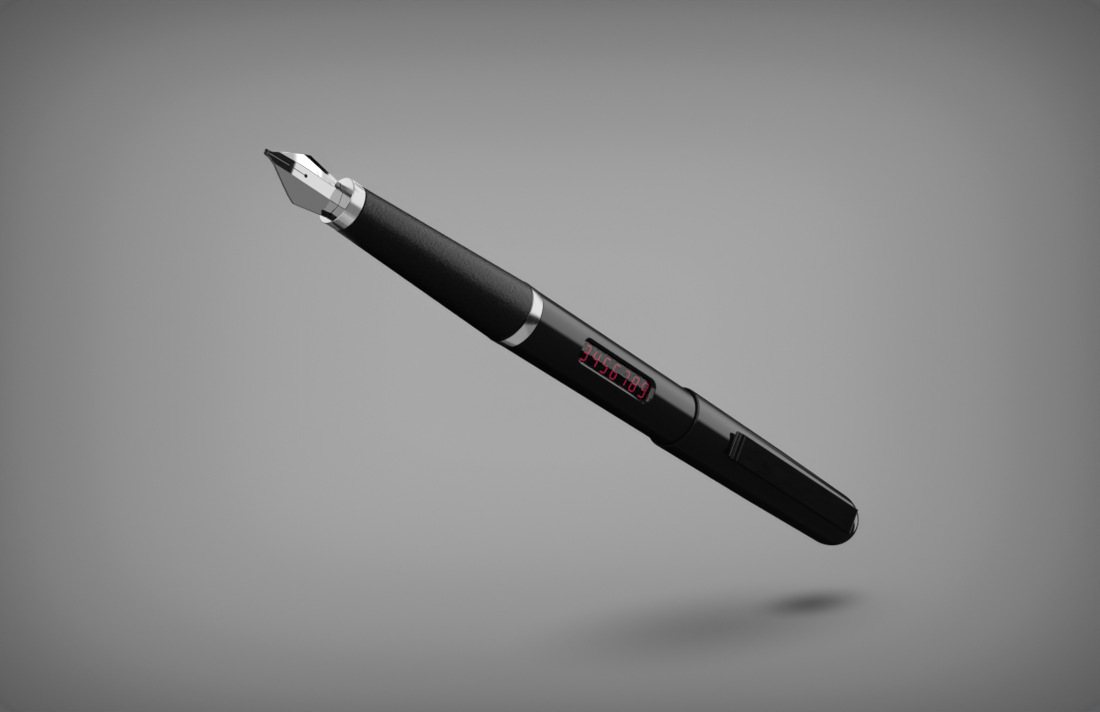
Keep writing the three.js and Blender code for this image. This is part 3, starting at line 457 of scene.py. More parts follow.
def rings_to_mesh(rings, closed_loop=False):
    """Faces between rings of equal point counts. The ends are closed, or the last ring meets the first."""
    count = len(rings[0])
    points = [point for ring in rings for point in ring]
    faces = []
    last = len(rings) if closed_loop else len(rings) - 1
    for r in range(last):
        a = r * count
        b = ((r + 1) % len(rings)) * count
        for i in range(count):
            k = (i + 1) % count
            faces.append((a + i, a + k, b + k, b + i))
    if not closed_loop:
        faces.append(tuple(reversed(range(count))))
        faces.append(tuple(range((len(rings) - 1) * count, len(rings) * count)))
    return points, faces


def block(name, x_range, y_range, z_range):
    corners = ((0, 0), (1, 0), (1, 1), (0, 1))
    rings = [[(x_range[i], y_range[j], z) for i, j in corners] for z in z_range]
    return new_object(name, *rings_to_mesh(rings))


def cross_rod(name, x, z, y_range, radius, segments):
    """A round bar across the pen."""
    rings = [
        [(x + radius * math.cos(angle), y, z + radius * math.sin(angle)) for angle in circle(segments)]
        for y in y_range
    ]
    return new_object(name, *rings_to_mesh(rings))


def round_normals(made, radius_limits, tolerance=0.985):
    """Sets exact normals where a cut surface is round about the pen's axis."""
    mesh = made.data
    smooth_by_angle(made)
    mesh.update()
    normals = [Vector(corner.vector) for corner in mesh.corner_normals]
    for face in mesh.polygons:
        centre = face.center - Vector((0, 0, AXIS_Z))
        outward = Vector((0, centre.y, centre.z))
        radius = outward.length / MM
        if not radius_limits[0] < radius < radius_limits[1]:
            continue
        outward.normalize()
        flat = Vector((0, face.normal.y, face.normal.z))
        if flat.length < 0.5:
            continue
        side = flat.normalized().dot(outward)
        if abs(side) < tolerance:
            continue
        for index in face.loop_indices:
            point = mesh.vertices[mesh.loops[index].vertex_index].co
            radial = Vector((0, point.y, point.z - AXIS_Z)).normalized()
            if side < 0:
                radial.negate()
            slope = face.normal.x
            normals[index] = Vector((slope, *(radial.yz * math.sqrt(1 - slope * slope))))
    mesh.normals_split_custom_set(normals)


# Nib. Stations are measured forward of the collar's disc: half width and height of the flat
# facet's edge, of the crease beside it and of the sheet's edge.
NIB_SHEET = 0.38
NIB_STATIONS = (
    (2.3, (1.19, 1.16), (2.21, -0.11), (3.15, -0.44)),
    (0.0, (1.19, 1.16), (2.21, -0.11), (3.15, -0.44)),
    (-6.9, (1.17, 1.42), (3.5, -0.02), (4.37, -0.24)),
    (-8.25, (1.15, 1.45), (3.72, 0.03), (3.8, 0.0)),
    (-9.9, (1.12, 1.47), (2.86, 0.43), (2.93, 0.4)),
    (-13.15, (1.04, 1.26), (1.08, 1.24), (1.12, 1.22)),
    (-14.3, (0.46, 1.2), (0.5, 1.18), (0.54, 1.16)),
    (-15.2, (0.34, 1.18), (0.38, 1.16), (0.42, 1.14)),
)
NIB_ROLL = math.radians(-10)
BREATHER_X = -7.44
BREATHER_RADIUS = 0.31
SLIT_HALF = 0.06
TIPPING_RADIUS = 0.3
TIPPING_REACH = 1.25 * TIPPING_RADIUS  # half the length of a ball along the pen
TIPPING_SET = 0.6 * TIPPING_RADIUS  # from the tine's end, and from the slit, to a ball's middle
BEND_STEPS = 4


def nib_at(x):
    """Facet, crease and edge of the nib at x, between its stations."""
    for (x0, *low), (x1, *high) in zip(NIB_STATIONS, NIB_STATIONS[1:]):
        if x0 >= x >= x1:
            share = (x - x0) / (x1 - x0)
            return [tuple(p + (q - p) * share for p, q in zip(a, b)) for a, b in zip(low, high)]
    raise ValueError(x)


def bent(first, corner, last, radius):
    """Points of a rounded bend at a corner of the nib's section."""
    here, back, on = Vector(corner), Vector(first), Vector(last)
    reach = min(radius, 0.45 * (back - here).length, 0.45 * (on - here).length)
    start = here + (back - here).normalized() * reach
    end = here + (on - here).normalized() * reach
    points = []
    for i in range(BEND_STEPS + 1):
        t = i / BEND_STEPS
        points.append(start * (1 - t) ** 2 + here * 2 * t * (1 - t) + end * t * t)
    return points


def nib_inner(x):
    """Half width of the gap in the middle at x: the slit, the breather or nothing."""
    across = BREATHER_RADIUS ** 2 - (x - BREATHER_X) ** 2
    hole = math.sqrt(across) if across > 0 else 0
    slit = SLIT_HALF if x < BREATHER_X else 0
    return max(hole, slit)


def nib_half_ring(x):
    facet, crease, edge = nib_at(x)
    inner = nib_inner(x)
    upper = [Vector((inner, facet[1]))]
    upper += bent(upper[0], facet, crease, 0.16)
    upper += bent(facet, crease, edge, 0.3)
    upper.append(Vector(edge))
    lower = [Vector((y, z - NIB_SHEET)) for y, z in reversed(upper)]
    return [(x, point.x, point.y) for point in upper + lower]


def nib_x_places():
    places = [BREATHER_X + BREATHER_RADIUS * math.cos(math.pi * i / 12) for i in range(13)]
    for (start, *_), (end, *_) in zip(NIB_STATIONS, NIB_STATIONS[1:]):
        count = max(1, round((start - end) / 0.6))
        places += [start + (end - start) * i / count for i in range(count + 1)]
    places = sorted(set(places), reverse=True)
    return [x for i, x in enumerate(places) if i == 0 or places[i - 1] - x > 0.001]


def rolled(made):
    """Turns a piece about the pen's axis to where the section's stop leaves the nib."""
    axis = place(0, 0, 0)
    turn = Matrix.Rotation(NIB_ROLL, 4, "X")
    made.data.transform(Matrix.Translation(axis) @ turn @ Matrix.Translation(-axis))
    return made


def make_nib():
    rings = [nib_half_ring(x) for x in nib_x_places()]
    count = len(rings[0])
    points, faces = [], []
    for side in (1, -1):
        base = len(points)
        points += [(x, side * y, z) for ring in rings for x, y, z in ring]
        for r in range(len(rings) - 1):
            a, b = base + r * count, base + (r + 1) * count
            joined = not nib_inner(rings[r][0][0]) and not nib_inner(rings[r + 1][0][0])
            for i in range(count - joined):
                k = (i + 1) % count
                faces.append((a + i, a + k, b + k, b + i))
        for ring_start in (base, base + (len(rings) - 1) * count):
            for i in range(count // 2 - 1):
                j = count - 1 - i
                faces.append((ring_start + i, ring_start + i + 1, ring_start + j - 1, ring_start + j))
    made = rolled(new_object("folded_nib", points, faces))
    smooth_by_angle(made, math.radians(40))
    flat_normals(made)
    return finish_piece(made, "nib")


def make_tipping():
    """The two hard balls at the tines' ends, a piece that moves with the nib."""
    x, facet = NIB_STATIONS[-1][:2]
    lift = facet[1] - NIB_SHEET / 2
    profile = []
    for i in range(17):
        angle = math.pi * (i / 16 - 0.5)
        profile.append((x + TIPPING_SET + TIPPING_REACH * math.sin(angle), TIPPING_RADIUS * math.cos(angle)))
    for end in (0, -1):
        profile[end] = (profile[end][0], 0)
    points, faces = lathe(profile, 24)
    balls = []
    for side in (1, -1):
        across = side * (SLIT_HALF + TIPPING_SET)
        balls.append(new_object("ball", [(a, b + across, c + lift) for a, b, c in points], faces))
    slit = block("slit", (x - 1, x + 2), (-SLIT_HALF, SLIT_HALF), (lift - 1, lift + 1))
    ball = combined(balls[0], balls[1], operation="UNION")
    rolled(combined(ball, slit))
    smooth_by_angle(ball)
    ball.name = "nib_tipping"
    return finish_piece(ball, "nib")


FEED_RADIUS = 2.3
FEED_FRONT = -9.9
FEED_REAR = 14.0
FEED_NOSE = -0.2
FIN_PITCH = 0.75
FIN_GAP = 0.32
FIN_COUNT = 10
FIN_REAR = -1.0
FIN_ROOT = -0.75
FIT = 0.05


def nib_prism(name, x_places, ceiling=None):
    """The nib's section swept along x, grown by the fit, or open up to a ceiling."""
    rings = []
    for x in x_places:
        facet, crease, edge = nib_at(min(max(x, NIB_STATIONS[-1][0]), NIB_STATIONS[0][0]))
        half = [edge, crease, facet]
        lower = [(y, z - NIB_SHEET - FIT) for y, z in half]
        upper = [(y, ceiling if ceiling else z + FIT) for y, z in half]
        lower += [(-y, z) for y, z in reversed(lower)]
        upper += [(-y, z) for y, z in reversed(upper)]
        rings.append([(x, y, z) for y, z in lower + upper[::-1]])
    return new_object(name, *rings_to_mesh(rings))


def make_feed():
    profile = [(FEED_FRONT, 0), (FEED_FRONT, FEED_RADIUS), (FEED_REAR, FEED_RADIUS), (FEED_REAR, 0)]
    body = turned("ink_feed", profile, SMALL_ROUND)
    above = nib_prism("above", [16.0, 0.0, -6.9, -8.25, FEED_FRONT - 1], 6)
    reach = FEED_RADIUS + 1
    wedge = new_object("wedge", *rings_to_mesh([
        [
            (FEED_FRONT - 1, y, FEED_NOSE + 0.15), (FEED_FRONT - 1, y, -reach), (FIN_REAR, y, -reach),
            (FIN_REAR, y, -FEED_RADIUS), (FEED_FRONT, y, FEED_NOSE),
        ]
        for y in (-reach, reach)
    ]))
    gaps = []
    for i in range(FIN_COUNT):
        rear = FIN_REAR - i * FIN_PITCH
        gaps.append(block("gap", (rear - FIN_GAP, rear), (-reach, reach), (-reach, FIN_ROOT)))
    rolled(combined(body, above, wedge, *gaps))
    round_normals(body, (1.5, 2.4))
    finish_piece(body, "feed")


OPENING_FRONT = -1.0001


def make_collar():
    front, rear, radius = round_size("front_collar")
    bore = FEED_RADIUS + FIT
    body = turned("mirror_collar", [(front, 0), (front, radius, 0.14), (rear, radius, 0.05), (rear, 0)])
    opening = nib_prism("opening", [OPENING_FRONT, rear + 1])
    lower = block("lower", (front - 1, rear + 1), (-4, 4), (-4, NIB_STATIONS[1][3][1] - NIB_SHEET))
    bore_profile = [(front - 1, 0), (front - 1, bore), (rear + 1, bore), (rear + 1, 0)]
    hole = new_object("hole", *lathe(bore_profile, SMALL_ROUND))
    combined(hole, lower, operation="INTERSECT")
    rolled(combined(body, opening, hole))
    round_normals(body, (3.9, 4.3))
    return finish_piece(body, "front_collar")


# Grip, with a grain raised in its skin.
GRIP_ROWS = 230
GRIP_SEGMENTS = 260
GRAIN_HEIGHT = 0.022
GRAIN_SIZE = 0.42
GRIP_BORE = 3.45
GRIP_THROAT = 4.2
GRIP_SOCKET = 4.66
RING_BORE = 4.65


def grain(point):
    wrinkle = noise.fractal(Vector(point) / GRAIN_SIZE, 1.0, 2.1, 3)
    return max(-1.0, min(1.0, wrinkle * 1.6))


def make_grip():
    front, rear, rear_radius = round_size("grip_section")
    front_radius = radius_of("front_collar")
    outer = []
    for i in range(GRIP_ROWS + 1):
        share = i / GRIP_ROWS
        x = front + (rear - front) * share
        radius = front_radius + (rear_radius - front_radius) * share
        edge = min(x - front, rear - x)
        dip = 0.12 * (1 - min(edge / 0.25, 1)) ** 2
        outer.append((x, radius - dip))
    inside = [
        (rear, GRIP_SOCKET), (33.0, GRIP_SOCKET), (33.0, GRIP_THROAT),
        (19.6, GRIP_THROAT), (18.6, GRIP_BORE), (front, GRIP_BORE),
    ]
    profile = outer + inside

    def radius_at(x, radius, angle):
        if (x, radius) in inside or min(x - front, rear - x) < 0.2:
            return radius
        point = (x, radius * math.sin(angle), radius * math.cos(angle))
        return radius - GRAIN_HEIGHT * (1 - grain(point)) / 2
    smooth_piece("grained_grip", "grip_section", lathe(profile, GRIP_SEGMENTS, radius_at), math.radians(50))


def make_mid_ring():
    front, rear, radius = round_size("mid_ring")
    return turned_piece("bright_ring", "mid_ring", [
        (front, radius - 0.02, 0.16), (rear, radius - 0.12, 0.06),
        (rear, RING_BORE), (front, RING_BORE),
    ])


nib = make_nib()
tipping = make_tipping()
make_feed()
collar = make_collar()
make_grip()
ring = make_mid_ring()


# Threads and converter.
THREAD_PITCH = 0.9
THREAD_DEPTH = 0.3
THREAD_RUNOUT = 0.3
THREAD_OUTER = 4.5
INSERT_BORE = 4.6
INSERT_THREAD_DEPTH = 0.25
SCREW_BORE = 3.4


def threaded(outer, depth, start, end):
    """A radius function for a helical thread from start to end."""
    def radius_at(x, radius, angle):
        if abs(radius - outer) > 1e-6 or not start <= x <= end:
            return radius
        fade = min(1, (x - start) / 0.4, (end - x) / 0.4)
        turn = (x / THREAD_PITCH - angle / (2 * math.pi)) % 1
        groove = max(0, 1 - abs(turn - 0.5) / 0.34)
        return radius - depth * fade * groove
    return radius_at


def thread_rows(start, end, radius):
    rows = int((end - start) / THREAD_PITCH * 12)
    return [(start + (end - start) * i / rows, radius) for i in range(rows + 1)]


def make_section_thread():
    front, rear, seat = round_size("section_thread")
    step = span("mid_ring")[1]
    run = (step + THREAD_RUNOUT, rear - THREAD_RUNOUT)
    profile = [(front, SCREW_BORE), (front, seat), (step, seat), (step, THREAD_OUTER)]
    profile += thread_rows(*run, THREAD_OUTER)
    profile += [(rear, THREAD_OUTER - 0.3), (rear, SCREW_BORE)]
    shape = lathe(profile, SMALL_ROUND, threaded(THREAD_OUTER, THREAD_DEPTH, *run))
    smooth_piece("section_screw", "section_thread", shape)


def make_barrel_insert():
    front, rear, outer = round_size("barrel_insert")
    run = (front + THREAD_RUNOUT, rear - THREAD_RUNOUT)
    profile = [(front, outer), (rear, outer), (rear, INSERT_BORE)]
    profile += reversed(thread_rows(*run, INSERT_BORE))
    profile += [(front, INSERT_BORE + 0.15)]
    shape = lathe(profile, SMALL_ROUND, threaded(INSERT_BORE, -INSERT_THREAD_DEPTH, *run))
    smooth_piece("barrel_screw", "barrel_insert", shape)


KNOB_FLUTES = 24
KNOB_FLUTE_DEPTH = 0.12


def make_converter():
    front, rear, radius = round_size("converter_mouth")
    tube_front, tube_rear = span("converter_tube")
    shoulder = tube_front - FIT
    turned_piece("converter_socket", "converter_mouth", [
        (front, radius, 0.25), (shoulder, radius, 0.05), (shoulder, 2.2), (rear, 2.2, 0.1),
        (rear, 0.5), (23.6, 0.5), (23.6, 1.3), (front, 1.3),
    ], SMALL_ROUND)
    housing_front, housing_rear, housing = round_size("converter_housing")
    step = housing - 0.4
    turned_piece("ink_tube", "converter_tube", [
        (tube_front, radius, 0.08), (housing_front - FIT, radius, 0.08), (housing_front - FIT, step),
        (tube_rear, step), (tube_rear, 2.25), (tube_front, 2.25),
    ], SMALL_ROUND)
    turned_piece("converter_sleeve", "converter_housing", [
        (housing_front, housing, 0.2), (housing_rear, housing, 0.25), (housing_rear, 1.6),
        (tube_rear + FIT, 1.6), (tube_rear + FIT, step + FIT), (housing_front, step + FIT),
    ], SMALL_ROUND)
    spindle, knob_rear, knob_radius = round_size("converter_knob")
    knob_front = housing_rear + 0.1
    neck = knob_front + 0.8

    def flutes(x, r, angle):
        if r < knob_radius - 0.01 or not neck + 0.5 < x < knob_rear - 0.7:
            return r
        wave = abs(math.sin(angle * KNOB_FLUTES / 2))
        return r - KNOB_FLUTE_DEPTH * (1 - wave) ** 2
    grip_rows = [(neck + 0.6 + (knob_rear - neck - 1.4) * i / 10, knob_radius) for i in range(11)]
    turned_piece("fluted_knob", "converter_knob", [
        (spindle, 0), (spindle, 0.9), (knob_front, 0.9), (knob_front, knob_radius - 0.5, 0.1),
        (neck, knob_radius - 0.5, 0.1), (neck, knob_radius, 0.15), *grip_rows,
        (knob_rear, knob_radius, 0.5), (knob_rear, 0),
    ], 240, flutes)


make_section_thread()
make_barrel_insert()
make_converter()


# Barrel and its display.
WINDOW_LENGTH = 20.6
WINDOW_WIDTH = 5.1
WINDOW_CORNER = 1.6
BEVEL_FLOOR = 4.95
BEVEL = 0.5
SIGHT_LENGTH = WINDOW_LENGTH - 2 * BEVEL
SIGHT_WIDTH = WINDOW_WIDTH - 2 * BEVEL
SIGHT_CORNER = WINDOW_CORNER - BEVEL
GLASS_LEDGE = 0.25
GLASS_LENGTH = SIGHT_LENGTH + 2 * GLASS_LEDGE
GLASS_WIDTH = SIGHT_WIDTH + 2 * GLASS_LEDGE
GLASS_CORNER = SIGHT_CORNER + GLASS_LEDGE
GLASS_SLOPE = 0.05  # the glass falls away from its middle line, in mm per mm
PANEL_EDGE = 0.04
BARREL_RADIUS = 5.86
BARREL_TAIL_RADIUS = 5.15
TAPER_LENGTH = 11
CAP_LIP = 1.2
BARREL_BORE = 4.86
BARREL_TAIL_BORE = 4.45
PLUG_RADIUS = 4.4
PLUG_FLANGE = 1.4
COIN_SLOT_HALF = 0.45
COIN_SLOT_DEPTH = 0.8
window_centre = sum(span("display_bezel")) / 2
cap_rim = span("cap_shell")[0]
barrel_front, barrel_rear = span("barrel")


def window_outline(length, width, corner, z):
    return [(window_centre + x, y, z) for x, y in rounded_rectangle(length, width, corner)]


def make_barrel():
    taper_front = cap_rim + CAP_LIP
    taper_rear = taper_front + TAPER_LENGTH
    insert = radius_of("barrel_insert") + FIT
    insert_rear = span("barrel_insert")[1] + FIT
    body = turned("barrel_shell", [
        (barrel_front, BARREL_RADIUS, 0.12), (taper_front, BARREL_RADIUS), (taper_rear, BARREL_TAIL_RADIUS),
        (barrel_rear, BARREL_TAIL_RADIUS, 0.1), (barrel_rear, BARREL_TAIL_BORE),
        (taper_rear, BARREL_TAIL_BORE), (taper_front, BARREL_BORE), (insert_rear, BARREL_BORE),
        (insert_rear, insert), (barrel_front, insert, 0.1),
    ])
    opening = new_object("opening", *rings_to_mesh([
        window_outline(WINDOW_LENGTH, WINDOW_WIDTH, WINDOW_CORNER, z) for z in (2.4, 7.0)
    ]))
    combined(body, opening)
    round_normals(body, (4.0, 6.0))
    finish_piece(body, "barrel")


def at_height(outline, z):
    return [(x, y, z) for x, y, _ in outline]


def make_bezel():
    """A frame whose bevel climbs from the glass to the barrel's surface."""
    floor = height_of("display_bezel")[0]
    glass_top = height_of("display_window")[1] + FIT
    inner = window_outline(SIGHT_LENGTH, SIGHT_WIDTH, SIGHT_CORNER, BEVEL_FLOOR)
    outer = window_outline(WINDOW_LENGTH, WINDOW_WIDTH, WINDOW_CORNER, floor)
    edge = [(x, y, math.sqrt(BARREL_RADIUS ** 2 - y * y) - 0.02) for x, y, _ in outer]
    lip, soft = [], []
    for low, high in zip(inner, edge):
        climb = Vector([b - a for a, b in zip(low, high)]).normalized()
        lip.append(tuple(Vector(high) - climb * 0.08))
        soft.append(tuple(Vector(low) + (Vector(lip[-1]) - Vector(low)).normalized() * 0.07))
    ledge = window_outline(GLASS_LENGTH + 0.1, GLASS_WIDTH + 0.1, GLASS_CORNER, floor)
    sunk = at_height(inner, BEVEL_FLOOR - 0.06)
    below_edge = [(x, y, z - 0.04) for x, y, z in edge]
    glass_edge, ledge_top = at_height(inner, glass_top), at_height(ledge, glass_top)
    rings = [lip, soft, sunk, glass_edge, ledge_top, ledge, outer, below_edge]
    made = new_object("window_frame", *rings_to_mesh(rings, closed_loop=True))
    smooth_by_angle(made, math.radians(28))
    flat_normals(made)
    finish_piece(made, "display_bezel")


def make_glass():
    """A plate with a faint bend along its middle."""
    floor, top = height_of("display_window")
    outline = window_outline(GLASS_LENGTH, GLASS_WIDTH, GLASS_CORNER, 0)
    half = len(outline) // 2
    ends = [(window_centre + GLASS_LENGTH / 2, 0, 0), (window_centre - GLASS_LENGTH / 2, 0, 0)]
    outline = [ends[0], *outline[:half], ends[1], *outline[half:]]
    count = len(outline)
    levels = (floor + GLASS_SLOPE * GLASS_WIDTH / 2, top)
    points, faces = rings_to_mesh([[(x, y, z - GLASS_SLOPE * abs(y)) for x, y, _ in outline] for z in levels])
    del faces[-2:]
    for base in (0, count):
        faces.append(tuple(base + i for i in range(half + 2)))
        faces.append(tuple(base + i % count for i in range(half + 1, count + 1)))
    finish_piece(new_object("window_pane", points, faces), "display_window")


def make_panel():
    floor, top = height_of("display_panel")
    levels = ((floor, PANEL_EDGE), (floor + PANEL_EDGE, 0), (top - PANEL_EDGE, 0), (top, PANEL_EDGE))
    rings = [window_outline(GLASS_LENGTH - trim, GLASS_WIDTH - trim, 0.3, z) for z, trim in levels]
    smooth_piece("dark_panel", "display_panel", rings_to_mesh(rings))


# Seven-segment digits: segment ends in units of half a digit's width and height.
DIGIT_HEIGHT = 3.05
DIGIT_WIDTH = 1.45
DIGIT_PITCH = 2.755
DIGIT_SHIFT = 0.55  # the row sits a little towards the cap
DIGIT_SLANT = 0.16
STROKE = 0.2
STROKE_GAP = 0.07
FIRST_DIGIT_FROM_MIDDLE = -3
SEGMENTS = {
    "a": ((-1, 1), (1, 1)), "b": ((1, 1), (1, 0)), "c": ((1, 0), (1, -1)), "d": ((-1, -1), (1, -1)),
    "e": ((-1, 0), (-1, -1)), "f": ((-1, 1), (-1, 0)), "g": ((-1, 0), (1, 0)),
}
DIGIT_LEVELS = (0.004, 0.034)  # above the panel
DIGITS = ("abcdg", "bcfg", "acdfg", "acdefg", "abc", "abcdefg", "abcdfg")


def make_digits():
    top = height_of("display_panel")[1]
    reach = Vector((DIGIT_WIDTH - STROKE, DIGIT_HEIGHT - STROKE)) / 2
    points, faces = [], []
    for step, lit in enumerate(DIGITS, FIRST_DIGIT_FROM_MIDDLE):
        middle = window_centre + DIGIT_SHIFT + step * DIGIT_PITCH
        for name in lit:
            first, last = (Vector(end) * reach for end in SEGMENTS[name])
            along = (last - first).normalized()
            across = Vector((-along.y, along.x)) * STROKE / 2
            start, end = first + along * STROKE_GAP, last - along * STROKE_GAP
            shoulder = along * STROKE / 2
            shape = [
                start, start + shoulder - across, end - shoulder - across,
                end, end - shoulder + across, start + shoulder + across,
            ]
            slanted = [(middle + point.x + DIGIT_SLANT * point.y, point.y, 0) for point in shape]
            bar, bar_faces = rings_to_mesh([at_height(slanted, top + level) for level in DIGIT_LEVELS])
            faces += [tuple(len(points) + i for i in face) for face in bar_faces]
            points += bar
    made = new_object("lit_digits", points, faces)
    made.data.materials.append(LIT_DIGITS)
    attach(made, BODY_OF["display_panel"])


def make_end_plug():
    front, rear = span("barrel_end_plug")
    flange = rear - PLUG_FLANGE
    body = turned("end_plug", [
        (front, 0), (front, PLUG_RADIUS, 0.1), (flange, PLUG_RADIUS),
        (flange, BARREL_TAIL_RADIUS, 0.05), (rear, BARREL_TAIL_RADIUS, 0.5), (rear, 0),
    ])
    slot = block("slot", (rear - COIN_SLOT_DEPTH, rear + 1), (-COIN_SLOT_HALF, COIN_SLOT_HALF), (-6, 6))
    combined(body, slot)
    round_normals(body, (4.3, 5.3))
    finish_piece(body, "barrel_end_plug")


make_barrel()
make_bezel()
make_glass()
make_panel()
make_digits()
make_end_plug()


# Cap and clip.
CAP_RIM_RADIUS = 6.42
CAP_RIM_LENGTH = 0.4
CAP_MIDDLE_FROM_RIM = 30.8
CAP_MIDDLE_RADIUS = 6.26
CAP_SHOULDER_RADIUS = 5.9
CAP_DOME = 6.2
CAP_END_RADIUS = 1.3
CAP_WALL = 0.42
INNER_SEAT = 5.05
POST_DEPTH = 29
PIN_Z = 4.6
PIN_FROM_CAP_END = 7.7
PIN_RADIUS = 0.45
PIN_HALF = 2.75
LUG_RADIUS = 1.05
LUG_WIDTH = 1.95
SLOT_HALF = 1.6
SLOT_REACH = 1.4
cap_end = span("cap_shell")[1]
rim_end = cap_rim + CAP_RIM_LENGTH
pin_x = cap_end - PIN_FROM_CAP_END


def cap_outline():
    """Outer profile of the cap from its rim to its end, as one smooth curve."""
    shoulder = cap_end - CAP_DOME
    middle = cap_rim + CAP_MIDDLE_FROM_RIM
    knots = [(rim_end, CAP_RIM_RADIUS), (middle, CAP_MIDDLE_RADIUS), (shoulder, CAP_SHOULDER_RADIUS)]
    outline = []
    for (x0, r0), (x1, r1) in zip(knots, knots[1:]):
        for i in range(12):
            outline.append((x0 + (x1 - x0) * i / 12, r0 + (r1 - r0) * i / 12))
    for i in range(33):
        angle = math.pi / 2 * i / 32
        radius = CAP_END_RADIUS + (CAP_SHOULDER_RADIUS - CAP_END_RADIUS) * math.cos(angle)
        outline.append((shoulder + CAP_DOME * math.sin(angle), radius))
    return outline


def make_cap():
    inner_end = span("inner_cap")[1]
    inner_shoulder = span("inner_cap")[0] + 7
    post_end = cap_rim + POST_DEPTH
    bore = CAP_RIM_RADIUS - CAP_WALL
    lip_bore = BARREL_RADIUS + 0.1
    rim = filleted([(cap_rim, lip_bore, 0.04), (cap_rim, CAP_RIM_RADIUS, 0.28), (rim_end, CAP_RIM_RADIUS)])
    profile = [(cap_rim + CAP_LIP, bore), (cap_rim + CAP_LIP, lip_bore)]
    profile += rim[:-1] + cap_outline()
    profile += [
        (cap_end, 0), (inner_end + 0.05, 0), (inner_end + 0.05, 1.75),
        (inner_shoulder, INNER_SEAT), (post_end + 1, INNER_SEAT), (post_end, bore),
    ]
    body = new_object("cap_body", *lathe(profile))
    slot_x = (pin_x - SLOT_REACH, pin_x + SLOT_REACH)
    slot = block("slot", slot_x, (-SLOT_HALF, SLOT_HALF), (PIN_Z - SLOT_REACH, 7.2))
    hole = cross_rod("hole", pin_x, PIN_Z, (-PIN_HALF, PIN_HALF), PIN_RADIUS + FIT, 48)
    combined(body, slot, hole)
    round_normals(body, (0.5, 6.6), 0.95)
    finish_piece(body, "cap_shell")


CLIP_WIDTH = 5.6
CLIP_THICKNESS = 0.5
CLIP_TOP = 7.2
CLIP_DIP = 0.3
CLIP_LIP_RISE = 0.2
CLIP_CORNER = 0.75
CLIP_EDGE = 0.12
CLIP_TAIL_SHY = 0.3
CLIP_DIP_FROM = 1.25
CLIP_DIP_TO = 2.75
CLIP_BEND = 0.32
clip_front, clip_rear = span("clip")


def clip_path():
    """Middle line of the clip's plate, from its lip over the bend and along to the turned-down tail."""
    level = CLIP_TOP - CLIP_THICKNESS / 2
    low = level - CLIP_DIP
    bottom = clip_front + CLIP_DIP_FROM
    top = clip_front + CLIP_DIP_TO
    points = []
    for i in range(11):
        share = 1 - i / 10
        points.append((clip_front + (bottom - clip_front) * i / 10, low + CLIP_LIP_RISE * share * share))
    for i in range(1, 15):
        share = i / 14
        points.append((bottom + (top - bottom) * share, low + CLIP_DIP * (1 - math.cos(math.pi * share)) / 2))
    end = clip_rear - CLIP_TAIL_SHY - CLIP_THICKNESS / 2
    straight = end - CLIP_BEND
    for i in range(1, 41):
        points.append((top + (straight - top) * i / 40, level))
    for i in range(1, 9):
        angle = math.pi / 2 * i / 8
        points.append((straight + CLIP_BEND * math.sin(angle), level - CLIP_BEND * (1 - math.cos(angle))))
    points.append((end, level - CLIP_THICKNESS / 2 - 0.5))
    return points


def make_clip():
    path = clip_path()
    rings = []
    for i, (x, z) in enumerate(path):
        before = Vector(path[max(i - 1, 0)])
        after = Vector(path[min(i + 1, len(path) - 1)])
        along = (after - before).normalized()
        across = Vector((-along.y, along.x))
        from_front = x - clip_front
        inset = 0.0
        if from_front < CLIP_CORNER:
            inset = CLIP_CORNER - math.sqrt(CLIP_CORNER ** 2 - (CLIP_CORNER - from_front) ** 2)
        half = CLIP_WIDTH / 2 - inset
        tail_share = max(0.0, (CLIP_TOP - CLIP_THICKNESS - z) / 0.6)
        half -= 0.35 * tail_share ** 2
        thickness = CLIP_THICKNESS * (0.8 if from_front < 1.2 else 1.0)
        if i == 0 or i == len(path) - 1:
            thickness *= 0.6
            half -= 0.08
        ring = []
        for y, offset in rounded_rectangle(2 * half, thickness, min(CLIP_EDGE, thickness / 2 - 0.01), 4):
            point = Vector((x, z)) + across * offset
            ring.append((point.x, y, point.y))
        rings.append(ring)
    plate = new_object("pocket_clip", *rings_to_mesh(rings))
    lug_from = -SLOT_HALF + 0.1
    lug_to = lug_from + LUG_WIDTH
    eye = cross_rod("eye", pin_x, PIN_Z, (lug_from, lug_to), LUG_RADIUS, 64)
    neck = block(
        "neck", (pin_x - LUG_RADIUS, pin_x + 0.8 * LUG_RADIUS), (lug_from, lug_to),
        (PIN_Z, CLIP_TOP - CLIP_THICKNESS + 0.1),
    )
    combined(plate, eye, neck, operation="UNION")
    hole = cross_rod("hole", pin_x, PIN_Z, (lug_from - 1, lug_to + 1), PIN_RADIUS + 0.1, 48)
    combined(plate, hole)
    smooth_by_angle(plate, math.radians(38))
    flat_normals(plate)
    finish_piece(plate, "clip")


make_cap()
make_clip()


# Stage: a wide pale floor well below the pen. Its colour holds painted light: a pool that falls off from
# the middle of the view, and a painted soft shadow below the cap's end. Both are laid out in the
# photograph's own plane, which is fixed by the constants of the first view: u to the right and v upwards, 1
# at its edges.
FLOOR_DROP = 0.5
FLOOR_RADIUS = 1.65
FLOOR_RINGS = 24
FLOOR_PALE = 0.844
# Painted pool of light: distance from the middle of the view, and the share of the pale colour there.
PAINTED_LIGHT_POOL = ((0, 1), (0.07, 0.99), (0.26, 0.85), (0.49, 0.667), (0.69, 0.49), (0.97, 0.29))
PAINTED_LIGHT_POOL_SPAN = 1.4
VIEW_HALF_WIDTH = CAMERA_SENSOR / CAMERA_LENS / 2
VIEW_HALF_HEIGHT = VIEW_HALF_WIDTH * PHOTO_HEIGHT / PHOTO_WIDTH
# Painted shadows below the cap's end: middle, reach, slope in degrees and depth of the shade.
PAINTED_SHADOWS = (
    ((0.475, -0.695), (0.13, 0.05), 10, 0.6),
    ((0.3, -0.76), (0.42, 0.13), 11, 0.4),
)


